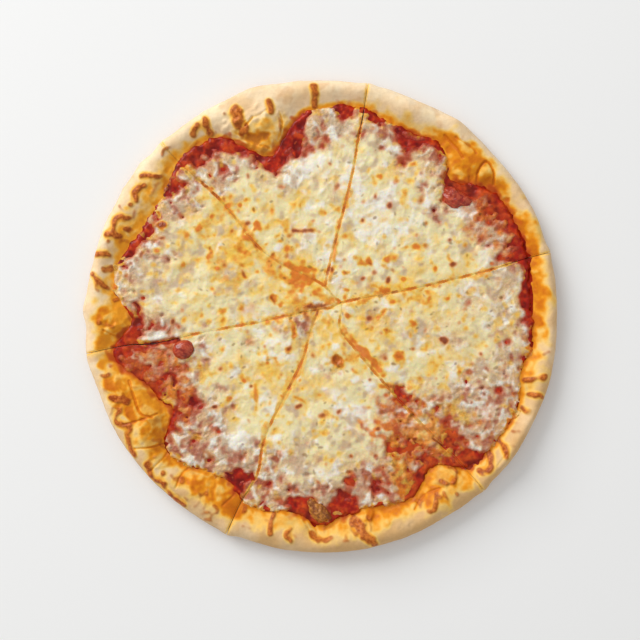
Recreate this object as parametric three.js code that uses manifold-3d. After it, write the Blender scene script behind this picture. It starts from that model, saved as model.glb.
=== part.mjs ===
import * as THREE from 'three';
import { mergeVertices } from 'three/addons/utils/BufferGeometryUtils.js';
import Module from 'manifold-3d';

// A hand-stretched cheese pizza, baked and cut into six slices that still lie together.
// Each slice is dough, sauce and cheese, one on the other, and a few lumps of tomato lie on top.
// Millimetres, +Z up. The origin is under the middle of the pizza, on its flat underside.
// Bearings are degrees, counter-clockwise from +X.

// ---- Driving dimensions ----

const steps = 144; // sides of every turned shape, 2.5 degrees each
const gap = 0.3; // left between pieces that touch
const knifeGap = 0.6; // width of a closed cut

const outline = {
  radius: 151, // middle of the pizza to the outside of the rim
  lean: 2.2, // how far the round is pulled out of true
  leanToward: 60,
  bulges: [
    { at: 16.5, span: 1.8, by: 1.2 },
    { at: 55, span: 4, by: 1.6 },
    { at: 78.5, span: 1.8, by: 1.2 },
    { at: 106, span: 6, by: 2.3 },
    { at: 132, span: 2, by: 1.2 },
    { at: 178, span: 3, by: 1.8 },
    { at: 189, span: 5, by: 2 },
    { at: 246.5, span: 2, by: 1.6 },
    { at: 313.8, span: 2, by: 1.3 },
  ],
};

const dough = {
  thickness: 7.5, // under the sauce
  rimWidth: 13.5, // where the rim isn't swollen
  rimHeight: 13,
  lift: 1.5, // how much higher the rim stands on its higher side
  liftToward: 315,
  crestIn: 4.5, // how far in from the outside the rim's highest line runs
  crestShare: 0.4, // and how much of a swelling's reach it moves in by
  softness: 0.85, // how far the rim slopes down to the sauce instead of standing round
  widestShare: 0.42, // height of the rim's widest line, as a share of the rim's height
  tuck: 3.5, // how far the flat underside stops short of the widest line
  waveHeight: 0.7, // slow rise and fall of the crest
  wavesPerTurn: 7,
};

// Where the rim has puffed up: how much further it reaches in, and how much higher it stands.
const swells = [
  { at: 5, span: 10, reach: 3.5, rise: 0.5 },
  { at: 47, span: 7, reach: 16, rise: 1 },
  { at: 63, span: 6, reach: 5, rise: 0 },
  { at: 72, span: 8, reach: 4, rise: 0.5 },
  { at: 90, span: 6, reach: 3, rise: 0 },
  { at: 107, span: 9, reach: 31, rise: 4 },
  { at: 148, span: 14, reach: 10, rise: 1 },
  { at: 180, span: 6, reach: 16, rise: 2 },
  { at: 203, span: 9, reach: 17, rise: 2.5 },
  { at: 212, span: 5.5, reach: 17, rise: 1 },
  { at: 238, span: 14, reach: 15, rise: 2 },
  { at: 259, span: 6, reach: 9, rise: 0.5 },
  { at: 265, span: 3, reach: 5, rise: 0 },
  { at: 276, span: 3, reach: 3, rise: 0 },
  { at: 286, span: 12, reach: 11, rise: 1.5 },
  { at: 307, span: 7, reach: 17, rise: 2 },
  { at: 346, span: 5, reach: 5, rise: 0.5 },
];

const sauce = {
  thickness: 1.2,
  climb: 78, // degrees down the inner quarter round of the rim that the sauce's edge reaches
  edge: 0.6, // its thickness there
  slope: 2.5, // how far in from the foot of the rim it starts to climb
};

const cheese = {
  thickness: 2.6,
  margin: 3, // between the cheese's underside and the foot of the rim
  overhang: 1.2, // how far its rounded edge bellies out
  rounding: 1.4, // how far its top edge is drawn in
  rings: [0.94, 0.85, 0.73, 0.58, 0.4, 0.2], // share of the way out of each ring of its top
  lumpHeight: 0.5,
  lumpLength: 26,
};

// Where the cheese stops short and the sauce shows: the width of the bare band inside the rim.
const bareBands = [
  { at: 1, span: 9, width: 5 },
  { at: 19, span: 3, width: 16 },
  { at: 31, span: 7, width: 13 },
  { at: 43, span: 4, width: 14 },
  { at: 62, span: 7, width: 6 },
  { at: 65, span: 3, width: 7 },
  { at: 75, span: 3, width: 6 },
  { at: 84, span: 3, width: 7 },
  { at: 97.5, span: 3, width: 18 },
  { at: 102, span: 4, width: 9 },
  { at: 110, span: 8, width: 5 },
  { at: 117, span: 3.5, width: 8 },
  { at: 126, span: 4, width: 6 },
  { at: 139, span: 3, width: 5 },
  { at: 154, span: 4, width: 4 },
  { at: 160.5, span: 2.5, width: 3 },
  { at: 179, span: 3, width: 5 },
  { at: 185, span: 4, width: 10 },
  { at: 192.5, span: 3.5, width: 38 },
  { at: 203, span: 5, width: 13 },
  { at: 211, span: 6, width: 10 },
  { at: 242, span: 3, width: 10 },
  { at: 264, span: 4, width: 9 },
  { at: 278, span: 3, width: 10 },
  { at: 317, span: 3.5, width: 18 },
];

// The cuts: x, y and the width of the opening there. They don't meet in one point, so a small
// triangle in the middle stays with the slice on the left.
const cuts = {
  rightToLeft: [
    [152, 44, 0.8], [134, 39.7, 0.8], [103.4, 30.4, knifeGap], [57.3, 19.5, knifeGap],
    [13.1, 10.6, knifeGap], [6, 7.4, knifeGap], [-1, 6.7, knifeGap], [-45.1, -2.7, knifeGap],
    [-77.1, -8.6, knifeGap], [-96, -13.2, 0.8], [-109, -15.7, 1.2], [-121, -16.2, 1],
    [-135, -18.6, 0.8], [-158, -24, 0.8],
  ],
  upperLeftToLowerRight: [
    [-108, 120, 0.8], [-91.2, 101.4, knifeGap], [-63, 75.2, knifeGap], [-35.5, 42.6, knifeGap],
    [2.9, 21.1, knifeGap], [9.1, 13.8, knifeGap], [13.1, 10.6, knifeGap], [12.5, -5.4, knifeGap],
    [20.8, -17, knifeGap], [57.3, -59.2, knifeGap], [92.5, -95, knifeGap], [108, -114, 0.8],
  ],
  top: [
    [2.9, 21.1, knifeGap], [6.7, 39.4, knifeGap], [13.1, 63.7, knifeGap], [20.8, 95.7, knifeGap],
    [25, 120, 0.8], [26.9, 129, 1.2], [28.2, 137, 0.8], [31, 158, 0.8],
  ],
  lowerLeft: [
    [-1, 6.7, knifeGap], [-7.4, -9.9, knifeGap], [-10.6, -23.4, knifeGap],
    [-36.2, -77.1, knifeGap], [-40, -97.6, knifeGap], [-51.5, -118, 0.8], [-64, -146, 1],
  ],
};
const cutFacets = 24; // straight pieces along a cut
const cutOverrun = 0.5; // how far a cut runs past its last point, so that cuts that meet join up
const bladeHeight = 60;

// The slices in order, by the bearing of the cut that each one starts from.
const sliceStarts = [16.5, 78.5, 132, 189, 246.5, 313.8];

// Shreds of cheese that browned on the rim: bearing and distance of both ends, and width.
const shreds = [
  { from: [91.5, 147], to: [91.5, 138.5], width: 4.5 },
  { from: [103.3, 142.7], to: [103.3, 135], width: 3.5 },
  { from: [112.2, 141.5], to: [112.2, 130], width: 7 },
  { from: [120.3, 147], to: [120.3, 138], width: 4 },
  { from: [124.8, 143], to: [122.5, 147], width: 3.5 },
  { from: [141.3, 146], to: [138.7, 138.2], width: 3.5 },
  { from: [147.3, 139.5], to: [142.9, 141.1], width: 3.5 },
  { from: [156.5, 144], to: [152.2, 138.2], width: 3.5 },
  { from: [157.8, 146], to: [157.8, 138.2], width: 3.5 },
  { from: [163.4, 147], to: [163.4, 140.8], width: 3.5 },
  { from: [168.7, 147.5], to: [171.7, 138.2], width: 3.5 },
  { from: [181, 140.2], to: [181.8, 132.5], width: 3.5 },
  { from: [194.5, 137.6], to: [194.5, 142], width: 4 },
  { from: [203, 132.5], to: [200.2, 142.7], width: 4 },
  { from: [208.8, 138.2], to: [204.6, 142], width: 3.5 },
  { from: [216.4, 145], to: [211.9, 143], width: 3.5 },
  { from: [225.5, 143], to: [219.9, 143], width: 3.5 },
  { from: [233.8, 146], to: [228, 146], width: 3 },
  { from: [256.5, 139.5], to: [256.5, 128.5], width: 3.5 },
  { from: [262.1, 142], to: [262.1, 134], width: 3.5 },
  { from: [269.4, 141], to: [267.5, 137], width: 3.5 },
  { from: [282.9, 143.5], to: [279.7, 131.5], width: 6.5 },
  { from: [321.5, 140], to: [317.2, 143], width: 3.5 },
  { from: [326, 140.5], to: [324.5, 147], width: 3.5 },
  { from: [336, 141], to: [336, 144], width: 4 },
  { from: [340.6, 146], to: [340.6, 140], width: 3.5 },
  { from: [345.5, 145], to: [343.2, 137.5], width: 3.5 },
];
const shredHeight = 1.1; // how far a shred stands up from the rim
const shredSides = [6, 4]; // round it and along it

// Lumps of tomato: where they lie, their length, width and height, and the bearing of the length.
const tomatoes = [
  { at: [86, 77.5], size: [18, 13, 5], turn: 155 },
  { at: [-87.5, -19.2], size: [14, 12.5, 5.5], turn: 20 },
  { at: [-1, -122.5], size: [18, 11, 5], turn: 135 },
];
const tomatoSides = 12;
const tomatoBulge = 0.07; // how far its outline wavers

const finishes = {
  crust: new THREE.MeshStandardMaterial({ color: 0xe9c48a, roughness: 0.75, metalness: 0 }),
  sauce: new THREE.MeshStandardMaterial({ color: 0xa32a14, roughness: 0.35, metalness: 0 }),
  cheese: new THREE.MeshStandardMaterial({ color: 0xefdda9, roughness: 0.45, metalness: 0 }),
  tomato: new THREE.MeshStandardMaterial({ color: 0x8f2412, roughness: 0.3, metalness: 0 }),
};

// ---- The shape of the round ----

const fullTurn = 360;
const radians = THREE.MathUtils.degToRad;

// 1 at one bearing, falling away on both sides over the span, in degrees.
function bump(bearing, at, span) {
  const off = (bearing - at) / fullTurn;
  return Math.exp(-(((off - Math.round(off)) * fullTurn / span) ** 2));
}

function addBumps(bearing, list, size) {
  return list.reduce((sum, each) => sum + each[size] * bump(bearing, each.at, each.span), 0);
}

function outlineRadius(bearing) {
  const lean = outline.lean * Math.cos(radians(bearing - outline.leanToward));
  return outline.radius + lean + addBumps(bearing, outline.bulges, 'by');
}

// The rim's own measures at a bearing: radii of its outside, crest and foot, and two heights.
function rimAt(bearing) {
  const outside = outlineRadius(bearing);
  const swollen = addBumps(bearing, swells, 'reach');
  const wave = dough.waveHeight * Math.sin(radians(bearing) * dough.wavesPerTurn);
  const lift = dough.lift * Math.cos(radians(bearing - dough.liftToward));
  const height = dough.rimHeight + lift + wave + addBumps(bearing, swells, 'rise');
  return {
    outside,
    crest: outside - dough.crestIn - swollen * dough.crestShare,
    foot: outside - dough.rimWidth - swollen,
    height,
    widest: height * dough.widestShare,
  };
}

// Quarter rounds of the rim: degrees up from the widest line, and down from the crest. The inner
// one eases into a slope.
function outerRound(rim, up) {
  return new THREE.Vector2(
    rim.crest + (rim.outside - rim.crest) * Math.cos(radians(up)),
    rim.widest + (rim.height - rim.widest) * Math.sin(radians(up)),
  );
}

function innerRound(rim, down) {
  const across = Math.sin(radians(down));
  const slope = 0.5 + 0.5 * Math.cos(Math.PI * across);
  const share = THREE.MathUtils.lerp(Math.cos(radians(down)), slope, dough.softness);
  return new THREE.Vector2(
    rim.crest - (rim.crest - rim.foot) * across,
    dough.thickness + (rim.height - dough.thickness) * share,
  );
}

function underRound(rim, down) {
  return new THREE.Vector2(
    rim.outside - dough.tuck * (1 - Math.cos(radians(down))),
    rim.widest * (1 - Math.sin(radians(down))),
  );
}

// The point on top of the rim at a bearing and a distance from the middle.
function onRim([bearing, distance]) {
  const rim = rimAt(bearing);
  const outer = distance > rim.crest;
  const across = outer
    ? (distance - rim.crest) / (rim.outside - rim.crest)
    : (rim.crest - distance) / (rim.crest - rim.foot);
  const turned = THREE.MathUtils.radToDeg(Math.asin(Math.min(across, 1)));
  const point = outer ? outerRound(rim, 90 - turned) : innerRound(rim, turned);
  const angle = radians(bearing);
  return new THREE.Vector3(distance * Math.cos(angle), distance * Math.sin(angle), point.y);
}

// ---- Solids ----

const wasm = await Module();
wasm.setup();

// A closed three.js geometry as a solid that can be cut and joined.
function solidFrom(geometry) {
  const bare = geometry.clone();
  bare.deleteAttribute('normal');
  bare.deleteAttribute('uv');
  const merged = mergeVertices(bare, 1e-4);
  const corners = merged.index.array;
  const kept = [];
  for (let i = 0; i < corners.length; i += 3) {
    const [a, b, c] = corners.subarray(i, i + 3);
    if (a !== b && b !== c && c !== a) kept.push(a, b, c);
  }
  return new wasm.Manifold(new wasm.Mesh({
    numProp: 3,
    vertProperties: new Float32Array(merged.attributes.position.array),
    triVerts: new Uint32Array(kept),
  }));
}

function geometryFrom(solid) {
  const mesh = solid.getMesh();
  const geometry = new THREE.BufferGeometry();
  geometry.setAttribute('position', new THREE.BufferAttribute(mesh.vertProperties, mesh.numProp));
  geometry.setIndex(new THREE.BufferAttribute(mesh.triVerts, 1));
  geometry.computeVertexNormals();
  return geometry;
}

// A turned solid whose half section changes with the bearing. A section runs from the axis at the
// bottom, out and over, and back to the axis at the top, always with the same number of points.
function turned(sectionAt, sides) {
  const geometry = new THREE.LatheGeometry(sectionAt(0), sides);
  const place = geometry.attributes.position;
  const rows = sectionAt(0).length;
  for (let side = 0; side <= sides; side++) {
    const bearing = fullTurn * (side % sides) / sides;
    const angle = radians(bearing);
    sectionAt(bearing).forEach((point, row) => {
      const across = point.x * Math.cos(angle);
      place.setXYZ(side * rows + row, across, point.x * Math.sin(angle), point.y);
    });
  }
  return solidFrom(geometry);
}

function doughSection(bearing) {
  const rim = rimAt(bearing);
  return [
    new THREE.Vector2(0, 0),
    ...[90, 45, 0].map((down) => underRound(rim, down)),
    ...[30, 60].map((up) => outerRound(rim, up)),
    ...[0, 35, 65, 90].map((down) => innerRound(rim, down)),
    new THREE.Vector2(0, dough.thickness),
  ];
}

const sauceBottom = dough.thickness + gap;
const sauceTop = sauceBottom + sauce.thickness;
const cheeseBottom = sauceTop + gap;

function sauceSection(bearing) {
  const rim = rimAt(bearing);
  const reach = innerRound(rim, sauce.climb);
  return [
    new THREE.Vector2(0, sauceBottom),
    new THREE.Vector2(rim.foot - gap, sauceBottom),
    new THREE.Vector2(reach.x - gap, reach.y + gap),
    new THREE.Vector2(reach.x - 2 * gap, reach.y + gap + sauce.edge),
    new THREE.Vector2(rim.foot - sauce.slope, sauceTop),
    new THREE.Vector2(0, sauceTop),
  ];
}

// The cheese's top rises and falls gently, as melted shreds do where they lay thicker.
function cheeseTop(bearing, distance) {
  const x = distance * Math.cos(radians(bearing)) / cheese.lumpLength;
  const y = distance * Math.sin(radians(bearing)) / cheese.lumpLength;
  const lumps = Math.sin(2.1 * x + 1.3 * y) * Math.cos(1.7 * y - 0.9 * x)
    + 0.6 * Math.sin(4.3 * x - 3.1 * y + 1);
  return cheeseBottom + cheese.thickness + cheese.lumpHeight * lumps;
}

function cheeseSection(bearing) {
  const edge = rimAt(bearing).foot - cheese.margin - addBumps(bearing, bareBands, 'width');
  const shoulder = edge - cheese.rounding;
  return [
    new THREE.Vector2(0, cheeseBottom),
    new THREE.Vector2(edge, cheeseBottom),
    new THREE.Vector2(edge + cheese.overhang, cheeseBottom + 0.4 * cheese.thickness),
    ...[1, ...cheese.rings].map((share) => (
      new THREE.Vector2(shoulder * share, cheeseTop(bearing, shoulder * share))
    )),
    new THREE.Vector2(0, cheeseTop(bearing, 0)),
  ];
}

// One browned shred, half sunk in the rim: a flattened ellipsoid from end to end, laid over the
// rim's round. The sphere's poles are its ends.
function shredSolid({ from, to, width }) {
  const start = onRim(from);
  const end = onRim(to);
  const along = new THREE.Vector2(end.x - start.x, end.y - start.y);
  const stretch = (1 + width / along.length()) / 2;
  const side = new THREE.Vector2(-along.y, along.x).setLength(width / 2);
  const geometry = new THREE.SphereGeometry(1, ...shredSides);
  const place = geometry.attributes.position;
  for (let i = 0; i < place.count; i++) {
    const plan = new THREE.Vector2(start.x, start.y)
      .addScaledVector(along, 0.5 + place.getY(i) * stretch)
      .addScaledVector(side, place.getX(i));
    const bearing = THREE.MathUtils.radToDeg(plan.angle());
    const rim = rimAt(bearing);
    const core = new THREE.Vector2(plan.x, plan.y).setLength(rim.crest);
    const point = onRim([bearing, plan.length()]);
    const up = point.clone().sub(new THREE.Vector3(core.x, core.y, rim.widest)).normalize();
    point.addScaledVector(up, -place.getZ(i) * shredHeight);
    place.setXYZ(i, point.x, point.y, point.z);
  }
  return solidFrom(geometry);
}

// A lump of tomato: a dome with a wavering outline, flat where it lies on the sauce. A looser one
// is the same lump larger all round, to clear a place for it.
function tomatoSolid({ at, size, turn }, looser) {
  const [length, width, height] = size;
  const dome = [[0, -looser], [1, -looser], [0.97, 0.45], [0.7, 0.85], [0, 1]];
  const lump = turned((bearing) => {
    const bulge = 1 + tomatoBulge * Math.sin(radians(bearing) * 3 + at[0]);
    return dome.map(([across, up]) => new THREE.Vector2(across * bulge, up));
  }, tomatoSides);
  return lump
    .scale([length / 2 + looser, width / 2 + looser, height + looser])
    .rotate([0, 0, turn])
    .translate([at[0], at[1], cheeseBottom]);
}

// A blade as wide as the cut is open, standing through the whole pizza.
function bladeSolid(points) {
  const path = new THREE.CatmullRomCurve3(points.map((point) => new THREE.Vector3(...point)));
  const stations = path.getPoints(cutFacets);
  const left = [];
  const right = [];
  stations.forEach((station, i) => {
    const before = stations[Math.max(i - 1, 0)];
    const after = stations[Math.min(i + 1, cutFacets)];
    const ahead = new THREE.Vector2(after.x - before.x, after.y - before.y).normalize();
    const overrun = cutOverrun * (Number(i === cutFacets) - Number(i === 0));
    const middle = new THREE.Vector2(station.x, station.y).addScaledVector(ahead, overrun);
    const side = new THREE.Vector2(-ahead.y, ahead.x).multiplyScalar(station.z / 2);
    left.push(middle.clone().add(side));
    right.unshift(middle.clone().sub(side));
  });
  const band = new THREE.Shape([...left, ...right]);
  const blade = new THREE.ExtrudeGeometry(band, { depth: bladeHeight, bevelEnabled: false });
  blade.translate(0, 0, -bladeHeight / 2);
  return solidFrom(blade);
}

// The six largest pieces that the cuts leave, in the slices' order.
function slicesOf(solid, blades) {
  const pieces = solid.subtract(blades).decompose();
  const bySlice = [];
  for (const piece of pieces) {
    const box = piece.boundingBox();
    const middle = new THREE.Vector2(box.min[0] + box.max[0], box.min[1] + box.max[1]);
    const bearing = THREE.MathUtils.radToDeg(middle.angle());
    const past = sliceStarts.filter((start) => bearing >= start).length;
    const slice = (past + sliceStarts.length - 1) % sliceStarts.length;
    if (!bySlice[slice] || piece.volume() > bySlice[slice].volume()) bySlice[slice] = piece;
  }
  return bySlice;
}

// ---- The pizza ----

function makePizza() {
  const pizza = new THREE.Group();
  const blades = wasm.Manifold.union(Object.values(cuts).map(bladeSolid));
  const clearings = wasm.Manifold.union(tomatoes.map((tomato) => tomatoSolid(tomato, gap)));
  const layers = {
    crust: wasm.Manifold.union([turned(doughSection, steps), ...shreds.map(shredSolid)]),
    sauce: turned(sauceSection, steps),
    cheese: turned(cheeseSection, steps).subtract(clearings),
  };

  const addPiece = (name, number, solid) => {
    const mesh = new THREE.Mesh(geometryFrom(solid), finishes[name].clone());
    mesh.name = `${name}_${number + 1}`;
    pizza.add(mesh);
  };
  for (const [name, layer] of Object.entries(layers)) {
    slicesOf(layer, blades).forEach((slice, number) => addPiece(name, number, slice));
  }
  tomatoes.forEach((tomato, number) => addPiece('tomato', number, tomatoSolid(tomato, 0)));
  return pizza;
}

export default makePizza();
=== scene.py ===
import math

import bmesh
import bpy
import numpy as np
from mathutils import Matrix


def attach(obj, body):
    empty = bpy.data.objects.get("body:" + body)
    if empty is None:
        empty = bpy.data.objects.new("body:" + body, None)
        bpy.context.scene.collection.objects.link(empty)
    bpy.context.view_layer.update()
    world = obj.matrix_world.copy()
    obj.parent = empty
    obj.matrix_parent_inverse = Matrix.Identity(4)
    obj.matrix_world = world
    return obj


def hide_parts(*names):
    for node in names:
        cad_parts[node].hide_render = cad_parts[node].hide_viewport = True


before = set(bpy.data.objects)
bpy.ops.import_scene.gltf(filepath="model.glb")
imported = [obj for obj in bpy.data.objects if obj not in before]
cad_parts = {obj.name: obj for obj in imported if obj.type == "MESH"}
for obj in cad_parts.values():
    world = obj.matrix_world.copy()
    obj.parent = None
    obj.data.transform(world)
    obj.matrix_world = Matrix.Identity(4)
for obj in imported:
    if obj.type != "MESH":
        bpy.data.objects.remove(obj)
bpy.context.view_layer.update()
print("frame loaded:", len(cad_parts), "nodes")

mm = 0.001  # sizes below are millimetres, bearings degrees counter-clockwise from +X
seed = 23
draw = np.random.default_rng(seed)

# The round, as the solids have it.
outline = {
    "radius": 151,
    "lean": 2.2,
    "leanToward": 60,
    "bulges": [  # at, span, by
        (16.5, 1.8, 1.2), (55, 4, 1.6), (78.5, 1.8, 1.2), (106, 6, 2.3), (132, 2, 1.2),
        (178, 3, 1.8), (189, 5, 2), (246.5, 2, 1.6), (313.8, 2, 1.3),
    ],
}

dough = {
    "thickness": 7.5,
    "rimWidth": 13.5,
    "rimHeight": 13,
    "lift": 1.5,  # how much higher the rim stands on its higher side
    "liftToward": 315,
    "crestIn": 4.5,  # how far inside the outline the rim is highest
    "crestShare": 0.4,  # of a swell's reach, how much moves the crest in
    "widestShare": 0.42,  # of the height, where the rim is widest
    "tuck": 3.5,  # how far in the lowest edge stands
    "waveHeight": 0.7,
    "wavesPerTurn": 7,
    "softness": 0.85,  # how far the inside of the rim slopes instead of standing round
    "swells": [  # at, span, reach, rise
        (5, 10, 3.5, 0.5), (47, 7, 16, 1), (63, 6, 5, 0), (72, 8, 4, 0.5), (90, 6, 3, 0),
        (107, 9, 31, 4), (148, 14, 10, 1), (180, 6, 16, 2), (203, 9, 17, 2.5), (212, 5.5, 17, 1),
        (238, 14, 15, 2), (259, 6, 9, 0.5), (265, 3, 5, 0), (276, 3, 3, 0), (286, 12, 11, 1.5),
        (307, 7, 17, 2), (346, 5, 5, 0.5),
    ],
}

bareBands = [  # at, span, width of the sauce that shows inside the rim
    (1, 9, 5), (19, 3, 16), (31, 7, 13), (43, 4, 14), (62, 7, 6), (65, 3, 7), (75, 3, 6),
    (84, 3, 7), (97.5, 3, 18), (102, 4, 9), (110, 8, 5), (117, 3.5, 8), (126, 4, 6), (139, 3, 5),
    (154, 4, 4), (160.5, 2.5, 3), (179, 3, 5), (185, 4, 10), (192.5, 3.5, 38), (203, 5, 13),
    (211, 6, 10), (242, 3, 10), (264, 4, 9), (278, 3, 10), (317, 3.5, 18),
]

knifeGap = 0.6
closedGap = 0.12  # how wide a closed cut shows
cuts = {  # x, y and, where the cut stands open, how wide
    "rightToLeft": [
        (152, 44, 0.8), (134, 39.7, 0.8), (103.4, 30.4), (57.3, 19.5), (13.1, 10.6), (6, 7.4),
        (-1, 6.7), (-45.1, -2.7), (-77.1, -8.6), (-96, -13.2, 0.8), (-109, -15.7, 1.2),
        (-121, -16.2, 1), (-135, -18.6, 0.8), (-158, -24, 0.8),
    ],
    "upperLeftToLowerRight": [
        (-108, 120, 0.8), (-91.2, 101.4), (-63, 75.2), (-35.5, 42.6), (2.9, 21.1), (9.1, 13.8),
        (13.1, 10.6), (12.5, -5.4), (20.8, -17), (57.3, -59.2), (92.5, -95), (108, -114, 0.8),
    ],
    "top": [
        (2.9, 21.1), (6.7, 39.4), (13.1, 63.7), (20.8, 95.7), (25, 120, 0.8), (26.9, 129, 1.2),
        (28.2, 137, 0.8), (31, 158, 0.8),
    ],
    "lowerLeft": [
        (-1, 6.7), (-7.4, -9.9), (-10.6, -23.4), (-36.2, -77.1), (-40, -97.6), (-51.5, -118, 0.8),
        (-64, -146, 1),
    ],
}

slices = [  # each slice's tip, and the runs of cut from it to the rim on its first and last side
    {"tip": ("rightToLeft", 4), "first": [("rightToLeft", 4, 0)],
     "last": [("upperLeftToLowerRight", 6, 4), ("top", 0, 7)]},
    {"tip": ("upperLeftToLowerRight", 4), "first": [("top", 0, 7)],
     "last": [("upperLeftToLowerRight", 4, 0)]},
    {"tip": ("rightToLeft", 4), "first": [("upperLeftToLowerRight", 6, 0)],
     "last": [("rightToLeft", 4, 13)]},
    {"tip": ("rightToLeft", 6), "first": [("rightToLeft", 6, 13)],
     "last": [("lowerLeft", 0, 6)]},
    {"tip": ("rightToLeft", 4), "first": [("rightToLeft", 4, 6), ("lowerLeft", 0, 6)],
     "last": [("upperLeftToLowerRight", 6, 11)]},
    {"tip": ("rightToLeft", 4), "first": [("upperLeftToLowerRight", 6, 11)],
     "last": [("rightToLeft", 4, 0)]},
]


def smooth(value, low, high):  # 0 at low, 1 at high, eased between; low may be the larger
    share = np.clip((value - low) / (high - low), 0, 1)
    return share * share * (3 - 2 * share)


def bearingOf(x, y):
    return np.degrees(np.arctan2(y, x))


def fromMiddle(bearing, distance):
    angle = math.radians(bearing)
    return distance * math.cos(angle), distance * math.sin(angle)


def bump(bearing, at, span):
    off = (bearing - at) / 360
    return np.exp(-(((off - np.round(off)) * 360 / span) ** 2))


def addBumps(bearing, bumps, which):
    return sum(each[which] * bump(bearing, each[0], each[1]) for each in bumps)


turns = np.arange(0, 360, 0.05)  # bearings at which the rim's measures are worked out


def ringTable():
    lean = outline["lean"] * np.cos(np.radians(turns - outline["leanToward"]))
    outside = outline["radius"] + lean + addBumps(turns, outline["bulges"], 2)
    swollen = addBumps(turns, dough["swells"], 2)
    wave = dough["waveHeight"] * np.sin(np.radians(turns) * dough["wavesPerTurn"])
    lift = dough["lift"] * np.cos(np.radians(turns - dough["liftToward"]))
    height = dough["rimHeight"] + lift + wave + addBumps(turns, dough["swells"], 3)
    return {
        "outside": outside,
        "crest": outside - dough["crestIn"] - swollen * dough["crestShare"],
        "foot": outside - dough["rimWidth"] - swollen,
        "height": height,
        "widest": height * dough["widestShare"],
        "bare": addBumps(turns, bareBands, 2),
    }


ring = ringTable()


def rimAt(bearing):
    return {name: np.interp(bearing, turns, values, period=360) for name, values in ring.items()}


def alongTable(bearing, stops):  # a value between the stops (bearing, value), round the turn
    at = [stop[0] for stop in stops]
    return np.interp(bearing, at, [stop[1] for stop in stops], period=360)


def groundAt(x, y):  # the dough's top, rim included
    rim = rimAt(bearingOf(x, y))
    distance = np.hypot(x, y)
    inner = np.clip((rim["crest"] - distance) / (rim["crest"] - rim["foot"]), 0, 1)
    outer = np.clip((distance - rim["crest"]) / (rim["outside"] - rim["crest"]), 0, 1)
    soft = dough["softness"]
    slope = (1 - soft) * np.sqrt(1 - inner**2) + soft * (0.5 + 0.5 * np.cos(np.pi * inner))
    inside = dough["thickness"] + (rim["height"] - dough["thickness"]) * slope
    outside = rim["widest"] + (rim["height"] - rim["widest"]) * np.sqrt(1 - outer**2)
    return np.where(distance < rim["crest"], inside, outside)


# Fields over the plan: square arrays of places, y by x, that hold a height or a share.
plan = {"reach": 164, "pitch": 0.4}  # half its side, and a step
planSide = round(2 * plan["reach"] / plan["pitch"])
planLine = (np.arange(planSide) + 0.5) * plan["pitch"] - plan["reach"]
planX, planY = np.meshgrid(planLine, planLine)
planWaves = np.hypot(
    np.fft.fftfreq(planSide, plan["pitch"])[:, None],
    np.fft.rfftfreq(planSide, plan["pitch"])[None, :],
)


def blurred(field, width):
    spread = np.exp(-2 * (np.pi * planWaves * width) ** 2)
    return np.fft.irfft2(np.fft.rfft2(field) * spread, field.shape)


def lumps(size):  # random lumps about that wide, with a mean of 0 and a spread of 1
    field = blurred(draw.standard_normal((planSide, planSide)), size / 4)
    return (field - field.mean()) / field.std()


def rough(*layers):  # lumps of several widths, each with its height
    return sum(height * lumps(size) for size, height in layers)


def sample(field, x, y):
    across = np.clip((x + plan["reach"]) / plan["pitch"] - 0.5, 0, planSide - 1.001)
    up = np.clip((y + plan["reach"]) / plan["pitch"] - 0.5, 0, planSide - 1.001)
    column, row = across.astype(int), up.astype(int)
    right, above = across - column, up - row
    low = field[row, column] * (1 - right) + field[row, column + 1] * right
    high = field[row + 1, column] * (1 - right) + field[row + 1, column + 1] * right
    return low * (1 - above) + high * above


def windowOf(points, margin):
    points = np.asarray(points, float)
    low = (points.min(axis=0) - margin + plan["reach"]) / plan["pitch"]
    high = (points.max(axis=0) + margin + plan["reach"]) / plan["pitch"]
    low = np.clip(low.astype(int), 0, planSide - 1)
    high = np.clip(high.astype(int) + 2, 1, planSide)
    return np.s_[low[1]:high[1], low[0]:high[0]]


def lineDistance(x, y, points):
    nearest = np.full(x.shape, 1e6)
    for (ax, ay), (bx, by) in zip(points, points[1:]):
        dx, dy = bx - ax, by - ay
        share = ((x - ax) * dx + (y - ay) * dy) / max(dx * dx + dy * dy, 1e-9)
        share = np.clip(share, 0, 1)
        nearest = np.minimum(nearest, np.hypot(x - ax - share * dx, y - ay - share * dy))
    return nearest


def spansOf(points, perSpan=12):  # centripetal Catmull-Rom curve through the points, span by span
    points = np.asarray(points, float)
    ends = [2 * points[0] - points[1], *points, 2 * points[-1] - points[-2]]
    share = np.linspace(0, 1, perSpan + 1)[:, None]
    spans = []
    for before, start, stop, after in zip(ends, ends[1:], ends[2:], ends[3:]):
        steps = [
            math.sqrt(np.linalg.norm(b - a)) or 1
            for a, b in ((before, start), (start, stop), (stop, after))
        ]
        leave = (start - before) / steps[0] - (stop - before) / (steps[0] + steps[1])
        leave = (leave + (stop - start) / steps[1]) * steps[1]
        arrive = (stop - start) / steps[1] - (after - start) / (steps[1] + steps[2])
        arrive = (arrive + (after - stop) / steps[2]) * steps[1]
        spans.append(
            (2 * share**3 - 3 * share**2 + 1) * start + (share**3 - 2 * share**2 + share) * leave
            + (3 * share**2 - 2 * share**3) * stop + (share**3 - share**2) * arrive
        )
    return spans


def curveOf(points, perSpan=4):
    if len(points) < 3:
        return [tuple(p) for p in points]
    spans = spansOf(points, perSpan)
    return [tuple(p) for span in spans for p in span[:-1]] + [tuple(spans[-1][-1])]


warp = lumps(4)


def bentLine(middle, length):  # a short bent line, at a random angle
    angle = draw.uniform(0, math.pi)
    along = np.array([math.cos(angle), math.sin(angle)]) * length / 2
    bend = np.array([-along[1], along[0]]) * draw.uniform(-0.6, 0.6)
    return [tuple(middle - along), tuple(middle + bend), tuple(middle + along)]


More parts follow.
